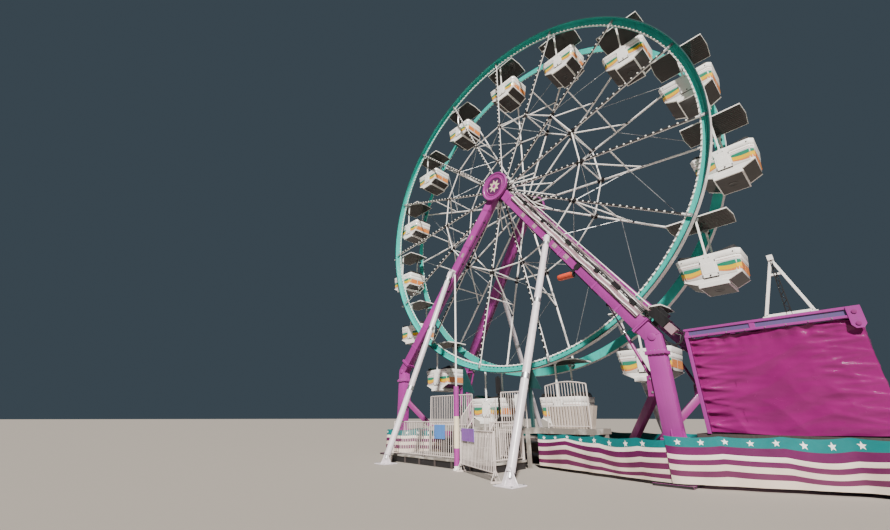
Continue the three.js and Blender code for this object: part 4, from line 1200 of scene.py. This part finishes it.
class Tarpaulin(Hanging):
    """The same, pulled tight: sharp creases fan out from the eyelets of its laced upright edges,
    short ones hang from the lacing above, and long soft ones cross the middle. It is calm
    where it is stretched round a corner"""

    CORNER, EYELETS, CALM, LACE_PITCH, FADE = 0.05, 8, 0.8, 0.42, 0.7

    def eyelet_creases(self, end, share):
        """Ridges that start at an eyelet and spread and fade as they run inwards"""
        total, fade = 0.0, math.exp(-end / self.FADE)
        if fade < 0.03:
            return 0.0
        for k in range(self.EYELETS):
            for turn in (-1.0, -0.25, 0.6):
                middle = 0.06 + 0.125 * k + turn * 0.09 * end
                middle += 0.03 * end * math.sin(k * 2.3 + turn * 5)
                total += max(0.0, 1 - abs(share - middle) / (0.018 + 0.022 * end))
        return min(total, 1.6) * fade * min(1.0, 0.2 + end / 0.15)

    def point(self, s, share, lift=0.0):
        end = min(abs(s - t) for t, _ in self.run)
        crease = self.eyelet_creases(end, share)
        sharp = 1 - 2.2 * abs(self.noise(s * 0.45, share * 6.0 + s * 0.9, 5))
        across = 1 - 2.2 * abs(self.noise(s * 1.1, share * 2.4 - s * 0.7, 21))
        hung, belly = self.noise(s * 6.0, share * 2.0, 12), self.noise(s * 0.5, share * 1.5, 9)
        corner = min([abs(s - t) for t, _ in self.run[1:-1]] + [self.CALM])
        calm = 0.06 + 0.94 * corner / self.CALM
        reach = (-0.05 + 0.03 * belly + calm * (0.042 * crease + 0.026 * sharp + 0.018 * across)
                 + 0.03 * hung * max(0.0, 1 - share * 5) + lift)
        section = (s / self.LACE_PITCH) % 1.0
        z = self.top - 0.14 * section * (1 - section) * max(0.0, 1 - share * 6)
        z += (self.low - self.top) * share
        z += 0.05 * share * math.exp(-end / self.FADE) + 0.03 * share * self.noise(s, 2.0, 0)
        return self.settle(s, reach, z)


def tarp(name, cloth, stands_for=None):
    return piece(name, cloth, [magenta_tarp], stands_for, fold=CLOTH_FOLD)


def plain_cloth(strip, rows, step=0.05):
    return striped(strip, [((strip.top - strip.low) / rows, 0)] * rows, step)


COVER_X, COVER_Y, ROOF_CELLS = 6.97, 1.17, 40
wrap = Tarpaulin([(6.2, -1.2), (9.565, -1.2), (9.565, 1.2), (6.2, 1.2)], 1, COVER_LOW, COVER_TOP,
                 3.0)
cover = tarp("cover_wrap", plain_cloth(wrap, 80, 0.03), "machinery_cover")
front = Tarpaulin([(COVER_X, -COVER_Y), (COVER_X, COVER_Y)], -1, COVER_LOW, COVER_TOP, 8.0)
cover_front = tarp("cover_front", plain_cloth(front, 40))
sagging = []
for j in range(ROOF_CELLS + 1):
    for i in range(ROOF_CELLS + 1):
        u, v = i / ROOF_CELLS, j / ROOF_CELLS
        sag = 0.09 * 16 * u * (1 - u) * v * (1 - v)
        ripple = 0.012 * noise.noise(Vector((u * 5, v * 9, 4.0)))
        sagging.append(at(COVER_X + 2.59 * u, 2.36 * v - 1.18, COVER_TOP - 0.012 - sag + ripple))
roof = tarp("cover_roof", sheet_of(sagging, ROOF_CELLS, [0] * ROOF_CELLS))

# Rails over the cover: two pink tubes with a grey-blue web between them, a post and end plates
RAIL_LOW, RAIL_START, RAIL_END = 3.5 + GAP, 6.12, 9.6
for depth, sy in DEPTHS.items():
    rails, out = Stock(), Y_AXIS * sy
    for end, low, high in ((RAIL_END, RAIL_LOW, 3.56), (RAIL_END, 3.685, 3.75),
                           (6.2 - GAP, COVER_LOW, RAIL_LOW)):
        block(rails, at(RAIL_START, sy * 1.15, low), at(end, sy * 1.25, high))
    for x in (7.05, 9.52):
        block(rails, at(x, sy * GAP, RAIL_LOW), at(x + 0.08, sy * 1.16, 3.65))
    for x in (6.12, 7.6, 9.48):
        block(rails, at(x, sy * 1.16, 3.55), at(x + 0.12, sy * 1.24, 3.69))
    rails.soften(0.006, 1)
    block(rails, at(RAIL_START + 0.05, sy * 1.207, 3.555), at(RAIL_END - 0.05, sy * 1.223, 3.69), 1)
    for n in range(9):
        bolt(rails, at(6.3 + n * 0.4, sy * 1.25, 3.53), out, 0.012, 2)
    # Hinge plate with its pin at the coupling end
    plate = [(9.36, 3.74), (9.6, 3.74), (9.6, 3.34), (9.54, 3.26), (9.42, 3.26), (9.36, 3.34)]
    slab(rails, [(x + HUB.x, z) for x, z in plate], sy * 1.25, sy * 1.262)
    for z in (3.36, 3.62):
        turned(rails, [(0.0, 0.0), (0.045, 0.0), (0.045, 0.014), (0.0, 0.018)],
               at(9.48, sy * 1.262, z), out, 20, 3)
    piece(f"cover_rails_{depth}", rails, [pink_enamel, mauve_enamel, zinc, deep_pink_enamel],
          f"cover_rail_{depth}")

# A-frame mast: white square tubes with a dark lattice post in the middle
MAST_X, MAST_Y, MAST_FOOT, MAST_TOP = 8.43, -1.18, 3.75 + GAP, 5.25
mast = Stock()
apex = at(MAST_X, MAST_Y, MAST_TOP - 0.04)
feet = [at(MAST_X + reach, MAST_Y, MAST_FOOT + 0.04) for reach in (-0.44, 0.44)]
for foot in feet:
    beam(mast, foot, apex, 0.065, 0.065)
    block(mast, foot + Vector((-0.07, -0.06, -0.04)), foot + Vector((0.07, 0.06, -0.01)))
beam(mast, *feet, 0.065, 0.065)
pad(mast, MAST_X, MAST_Y, 0.06, 0.06, MAST_TOP - 0.08, MAST_TOP + 0.06)
mast.soften(0.006, 1)
for y in (MAST_Y - 0.028, MAST_Y + 0.028):
    for x in (-0.05, 0.05):
        pipe(mast, [at(MAST_X + x, y, MAST_FOOT + 0.02), at(MAST_X + x * 0.4, y, 5.15)], 0.009, 6,
             1)
    for n in range(12):
        z, reach = MAST_FOOT + 0.06 + n * 0.11, 0.05 * (1 - 0.05 * n) * (-1) ** n
        pipe(mast, [at(MAST_X - reach, y, z), at(MAST_X + reach, y, z + 0.11)], 0.006, 6, 1)
beam(mast, at(8.3, MAST_Y, 4.8), at(8.56, MAST_Y, 4.8), 0.05, 0.05)
piece("a_frame_tubes", mast, [white_enamel, black_enamel], "a_frame_mast")


# Fences: posts, rails and round bars
BAR_PITCH, POST_R, BAR_R, TOP_RAIL_R, LOW_RAIL_R = 0.1, 0.022, 0.011, 0.02, 0.015


def fence(stock, start, end, low, high, arch=0.0):
    a, b = at(*start, 0), at(*end, 0)
    count = round((b - a).length / BAR_PITCH)
    heads = []
    for n in range(count + 1):
        p = a.lerp(b, n / count)
        heads.append(p + Z_AXIS * (high - POST_R + arch * math.sin(math.pi * n / count)))
        if n in (0, count):
            pipe(stock, [p + Z_AXIS * low, heads[n]], POST_R, 10)
            block(stock, p + Vector((-0.05, -0.05, low)), p + Vector((0.05, 0.05, low + 0.012)), 1)
        else:
            pipe(stock, [p + Z_AXIS * (low + 0.05), heads[n]], BAR_R, 6)
    pipe(stock, heads, TOP_RAIL_R, 10)
    pipe(stock, [p + Z_AXIS * (low + 0.06) for p in (a, b)], LOW_RAIL_R, 8)


DECK_Z, QUEUE_Z = 1.15 + GAP, 0.25 + GAP
rail_finishes = [rail_enamel, zinc]
fences = {
    "deck_fence_left": [((-3.33, -2.34), (-1.0, -2.34), DECK_Z, 2.3)],
    "deck_fence_middle": [((0.38, -2.34), (1.4, -2.34), DECK_Z, 2.3)],
    "deck_fence_right": [((1.9, -1.89), (3.34, -1.89), DECK_Z, 2.45, 0.1)],
    "queue_fence": [((-3.34, -4.14), (-1.64, -4.14), QUEUE_Z, 1.35),
                    ((-1.64, -4.14), (0.0, -4.14), QUEUE_Z, 1.35)],
}
for name, runs in fences.items():
    stock = Stock()
    for run in runs:
        fence(stock, *run)
    piece(name.replace("fence", "railing"), stock, rail_finishes, name)

# Two more panels close the queue platform's right end and the gap under the deck
closing = Stock()
fence(closing, (0.42, -2.56), (1.35, -2.56), QUEUE_Z, 1.1)
fence(closing, (1.35, -2.62), (1.35, -4.14), QUEUE_Z, 1.35)
piece("platform_railings", closing, rail_finishes, None)

barrier = Stock()
start, end = (0.42, -4.42), (2.5, -5.35)
fence(barrier, start, end, 0.15, 1.15)
way = (at(*end, 0) - at(*start, 0)).normalized()
across = Vector((way.y, -way.x, 0))
for x, y in (start, end):
    foot = at(x, y, 0.02)
    beam(barrier, foot - across * 0.15, foot + across * 0.15, 0.04, 0.04, Z_AXIS)
    for side in (-1, 1):
        pipe(barrier, [at(x, y, 0.3), foot + across * (0.13 * side)], 0.012, 8)
    pipe(barrier, [at(x, y, 0.01), at(x, y, 0.2)], 0.02, 10)
piece("crowd_railing", barrier, rail_finishes, "crowd_barrier")

# Handrails beside the steps: a post at each end, sloping rails and upright bars
handrails = Stock()
for x in (-0.84, 0.24):
    foot, head = at(x, -3.08, 0.54), at(x, -2.48, 1.13)
    for end, low in ((foot, 0.55 + GAP), (head, 0.85 + GAP)):
        pipe(handrails, [Vector((end.x, end.y, low)), end + Z_AXIS * 0.95], 0.02, 10)
    for rise in (0.95, 0.3):
        pipe(handrails, [foot + Z_AXIS * rise, head + Z_AXIS * rise], 0.018, 8)
    for n in range(1, 6):
        spot = foot.lerp(head, n / 6)
        pipe(handrails, [spot + Z_AXIS * 0.3, spot + Z_AXIS * 0.95], 0.01, 6)
piece("step_handrails", handrails, [rail_enamel], None)

# Bare boards hung on the fences where the real ones carry notices
boards = Stock()
block(boards, at(-1.06, -4.175, 0.82), at(-0.54, -4.163, 1.25), 0)
block(boards, at(0.98, -2.375, 1.66), at(1.38, -2.363, 2.19), 2)
near_end = at(*start, 1.0) + way * 0.12 - Y_AXIS * 0.024
beam(boards, near_end, near_end + way * 0.95, 0.34, 0.012, Z_AXIS, 1)
boards.soften(0.003, 1)
piece("blank_boards", boards, [blue_enamel, purple_enamel, white_enamel], None)

# Queue platform: a plated top on a recessed kerb, painted black as painted shade for the dark space
# under the raised top
platform = Stock()
block(platform, at(-3.4, -4.2, 0.19), at(1.4, -2.5, 0.25))
platform.soften(0.006, 1)
# Black kerb: painted shade under the plated top
block(platform, at(-3.36, -4.16, 0.0), at(1.36, -2.54, 0.19), 1)
for n in range(7):
    x = -3.39 + 0.783 * n
    block(platform, at(x, -4.195, 0.0), at(x + 0.06, -4.16, 0.19), 2)
piece("queue_deck", platform, [deck_plate, black_enamel, grey_frame_enamel], "queue_platform")

# Pole at the queue: painted bands below, a thin grey mast above
pole = Stock()
for low, high, radius, kind in ((0.0, 0.04, 0.12, 0), (0.04, 0.12, 0.085, 0),
                                (0.12, 0.6, 0.085, 1), (0.6, 1.5, 0.085, 2),
                                (1.5, 2.4, 0.085, 1), (2.4, 6.25, 0.03, 0)):
    pipe(pole, [at(0.15, -4.32 - GAP, z) for z in (low, high)], radius, 20, kind)
piece("pole_tube", pole, [white_enamel, pink_enamel, cream_enamel], "pole")

# Drum lamp that lies level under the near right leg
lamp, spot, out = Stock(), on_leg(1, -1), LADDER_DEPTH + 0.015
beam(lamp, spot(6.24, 0, out), spot(6.44, 0, out), 0.03, 0.24, -Y_AXIS, 1)
beam(lamp, spot(6.34, 0.06, out), spot(6.34, -0.42, out), 0.03, 0.08, -Y_AXIS, 1)
drum = tower_point(3.45, 6.0, 1, -1, 0.1)
turned(lamp, [(0.0, 0.0), (0.1, 0.0), (0.11, 0.02), (0.11, 0.05), (0.104, 0.055), (0.104, 0.065),
              (0.11, 0.07), (0.11, 0.5), (0.1, 0.57), (0.085, 0.59), (0.0, 0.59)],
       drum, -X_AXIS, 32, [1, 1, 0, 0, 1, 0, 0, 0, 0, 0, 0])
piece("drum_lamp_shell", lamp, [orange_enamel, black_enamel], "drum_lamp")

# Floor and soft studio light
FLOOR_REACH = 700.0
floor_mesh = bpy.data.meshes.new("studio_floor")
floor_mesh.from_pydata([(x * FLOOR_REACH, y * FLOOR_REACH, 0)
                        for x, y in ((-1, -1), (1, -1), (1, 1), (-1, 1))], [], [(0, 1, 2, 3)])
floor_finish, floor_shader, _ = new_finish("pale_studio_floor")
floor_shader.inputs["Base Color"].default_value = linear("#918A82")
floor_shader.inputs["Roughness"].default_value = 0.9
floor_mesh.materials.append(floor_finish)
floor = put("studio_floor", floor_mesh)
floor.location.z = -0.001

key_light = bpy.data.lights.new("soft_key", "SUN")
key_light.energy = 9.6
key_light.angle = math.radians(3.0)
key_light.color = (1.0, 0.965, 0.91)
SUN_TRAVEL = Vector((-1.0, 1.0, -1.25))
put("soft_key", key_light).rotation_euler = SUN_TRAVEL.to_track_quat("-Z", "Y").to_euler()

studio = bpy.data.worlds.new("studio")
studio.use_nodes = True
backdrop = studio.node_tree.nodes["Background"]
backdrop.inputs["Color"].default_value = linear("#9DB8CC")
backdrop.inputs["Strength"].default_value = 0.14
bpy.context.scene.world = studio
